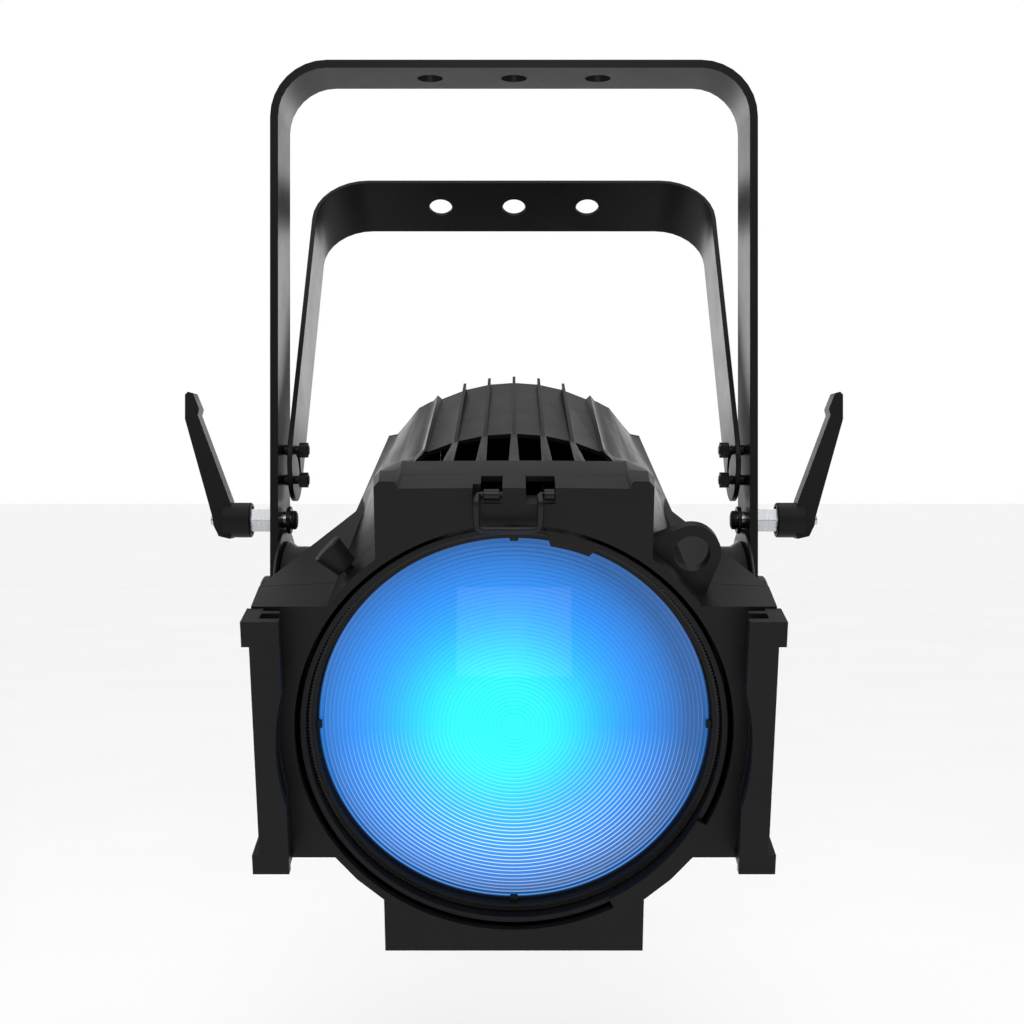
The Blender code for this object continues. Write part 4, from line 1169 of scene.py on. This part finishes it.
def latch_details(head):
    """The sleeves that the wire turns in."""
    sleeves = [
        ring(f"latch_sleeve_{i}", 1.6, 2.9, low, high, "x", head, 32, (0, LATCH_U, LATCH_V))
        for i, (low, high) in enumerate(((-15, -7.2), (14.9, 20)))
    ]
    extra(merged("latch_sleeves", sleeves), "latch_bail", "black_steel")


def screws(name, places, radius, base, head):
    """Cap screws with a round recess, seen from behind."""
    hole, deep, top = radius * 0.45, base + 0.9, base + 2.2
    profile = [
        (0, deep), (hole, deep), (hole, top), (radius * 0.92, top), (radius, base + 1.9),
        (radius, base - 1), (0, base - 1)]
    made = []
    for i, (x, v) in enumerate(places):
        one = turned(f"{name}_{i}", profile, "u", head, 24)
        one.data.transform(Matrix.Translation((x * MM, 0, v * MM)))
        made.append(one)
    extra(merged(name, made), "head", "black_steel", 0.15)


def icon(name, loops, at, base, head):
    """A raised mark on a button."""
    made = []
    for i, loop in enumerate(loops):
        moved = [(x + at[0], v + at[1]) for x, v in loop]
        made.append(prism(f"{name}_{i}", [moved], base, base + 0.35, "xv", head))
    return merged(name, made)


def rear_details(head):
    x, v, half, tall = DISPLAY
    loops = [round_display(3.5), round_display(0.2)]
    bezel = prism("display_bezel", loops, PANEL_U - 0.2, PANEL_U + 1, "xv", head)
    extra(bezel, "head", "black_plastic", 0.4)
    glass = PANEL_U - 0.8
    bars = [
        block(f"bar_{i}", (x + half - 5 - wide, glass - 0.2, v + 7.6 - 6.2 * i),
              (x + half - 5, glass + 0.15, v + 10 - 6.2 * i), head)
        for i, wide in enumerate((30, 21, 38, 13))
    ]
    extra(merged("display_bars", bars), "head", "emitter", 0)
    marks = {
        "up": [[(-2.4, -1.5), (2.4, -1.5), (0, 2.3)]],
        "down": [[(-2.4, 1.5), (0, -2.3), (2.4, 1.5)]],
        "menu": [rectangle(-2.5, level, 2.5, level + 0.8) for level in (-2, -0.4, 1.2)],
        "enter": [circle(2.1, sides=24)],
    }
    for name, loops in marks.items():
        made = icon(f"icon_{name}", loops, BUTTONS[name], PANEL_U + 2.05, head)
        extra(made, f"button_{name}", "aluminium", 0)
    for name, across in SOCKETS.items():
        pins = []
        for i, angle in enumerate((90, 210, 330)):
            turn = radians(angle)
            at = (across + 4.4 * cos(turn), 0, SOCKET_V + 4.4 * sin(turn))
            pins.append(rod(f"{name}_pin_{i}", 1.3, BACK_U - 9.5, BACK_U - 0.5, "u", head, 16, at))
            pins.append(rod(f"{name}_tip_{i}", 0.9, BACK_U - 1, BACK_U + 0.5, "u", head, 16, at))
        extra(merged(f"{name}_pins", pins), "head", "bright_steel", 0)
    flange = [
        (across + 11.5 * side, SOCKET_V + 3 * side)
        for across in SOCKETS.values() for side in (-1, 1)]
    screws("socket_screws", flange, 1.5, PANEL_U + 2.4, head)
    right = ((66, 91), (84, 58), (84, -2), (84, -56), (63, -101))
    edge = [(sign * x, v) for sign in (-1, 1) for x, v in right]
    screws("cover_screws", edge, 3.4, PANEL_U, head)


# ---- stage

FLOOR_Z = -0.75
FLOOR_HALF = 30
CAMERA_PLACE = (0, -0.8707, -0.2441)
CAMERA_LENS, CAMERA_SENSOR = 51.33, 36
CAMERA_SHIFT = (-0.00195, -0.03125)

# The world's light, from one side to the other: ahead to behind, and below to above
BACK_LIGHT = ((0, 0.02), (0.46, 0.03), (0.56, 1.5), (1, 2.9))
LOW_BAND = ((0, 0.45), (0.35, 0.5), (0.46, 1), (0.57, 1), (0.65, 0.11), (1, 0.1))
SKY_LIGHT = ((0, 0.02), (0.5, 0.02), (0.78, 0.05), (0.93, 1.5), (1, 1.8))

# Area lights: name, place, aim, size and power
LIGHTS = (
    ("key", (0, -1.5, 0.80), (0, -0.1, -0.4), (0.6, 0.5), 9),
    ("left", (-1.2, -0.95, -0.25), (0, -0.1, -0.37), (0.3, 0.7), 2),
    ("right", (1.2, -0.95, -0.25), (0, -0.1, -0.37), (0.3, 0.7), 2),
    ("card", (0, -0.70, -0.70), (0, -0.12, -0.33), (0.15, 0.12), 0.1))


def area_light(name, place, aim, size, power):
    data = bpy.data.lights.new(name, "AREA")
    data.shape = "RECTANGLE"
    data.size, data.size_y = size
    data.energy = power
    made = linked(name, data, bpy.context.scene.collection)
    made.location = place
    made.rotation_euler = (Vector(aim) - Vector(place)).to_track_quat("-Z", "Y").to_euler()


def studio_light(tree):
    """Bright low behind the object, dim elsewhere; the camera itself sees plain white."""
    tree.nodes.clear()
    made = Nodes(tree, "Generated")
    axes = made.split(made.place)

    def band(axis, stops):
        return made.ramp(made.spread(axes[axis], 0, 1, -1, 1), stops)

    around = made.vector("MULTIPLY", band("Y", BACK_LIGHT), band("Z", LOW_BAND))
    total = made.vector("ADD", around, band("Z", SKY_LIGHT))
    seen = made.add("ShaderNodeLightPath", {}).outputs["Is Camera Ray"]
    colours = {0: seen, 6: total, 7: (1, 1, 1, 1)}
    pick = made.add("ShaderNodeMix", colours, data_type="RGBA")
    light = made.add("ShaderNodeBackground", {"Color": pick.outputs[2]})
    made.add("ShaderNodeOutputWorld", {"Surface": light.outputs[0]})


def stage():
    scene = bpy.context.scene
    scene.view_settings.view_transform = "Standard"
    world = bpy.data.worlds.new("studio")
    world.use_nodes = True
    studio_light(world.node_tree)
    scene.world = world
    mesh = bpy.data.meshes.new("floor")
    corners = rectangle(-FLOOR_HALF, -FLOOR_HALF, FLOOR_HALF, FLOOR_HALF)
    mesh.from_pydata([(x, y, 0) for x, y in corners], [], [(0, 1, 2, 3)])
    floor = linked("floor", mesh, scene.collection)
    floor.location.z = FLOOR_Z
    made = Material("floor_paint")
    made.feed("Base Color", made.ramp(made.noise(3), [(0.3, 0.93), (0.7, 0.95)]))
    made.set(Roughness=0.9)
    mesh.materials.append(made.material)
    data = bpy.data.cameras.new("camera")
    data.sensor_width, data.lens = CAMERA_SENSOR, CAMERA_LENS
    data.shift_x, data.shift_y = CAMERA_SHIFT
    camera = linked("camera", data, scene.collection)
    camera.location = CAMERA_PLACE
    camera.rotation_euler = (radians(90), 0, 0)
    scene.camera = camera
    for light in LIGHTS:
        area_light(*light)


def main():
    hanging_yoke()
    floor_bracket()
    bracket_fixings()
    pivots()
    clamps()
    pivot = placed(linked("head_pivot", None), (0, 0, PIVOT_Z))
    pivot.rotation_euler.x = radians(TILT)
    head = placed(linked("head_axis", None), (0, -PIVOT_U, -PIVOT_V))
    head.parent = pivot
    front_frame(head)
    for hand, side in SIDES:
        accessory_rail(head, hand, side)
    for build in (
            housing, rear_cover, rear_controls, pivot_hubs, latch, lock_knob, optics, led_engine,
            fan, electronics, lens_details, latch_details, rear_details):
        build(head)
    looks = materials()
    for obj in [o for o in PARTS.objects if "look" in o]:
        finished(obj, looks)
    for obj in list(PARTS.objects) + list(CUTTERS.objects):
        bpy.data.objects.remove(obj)
    stage()
    sizes()


def sizes():
    """Updates the view layer."""
    bpy.context.view_layer.update()


main()
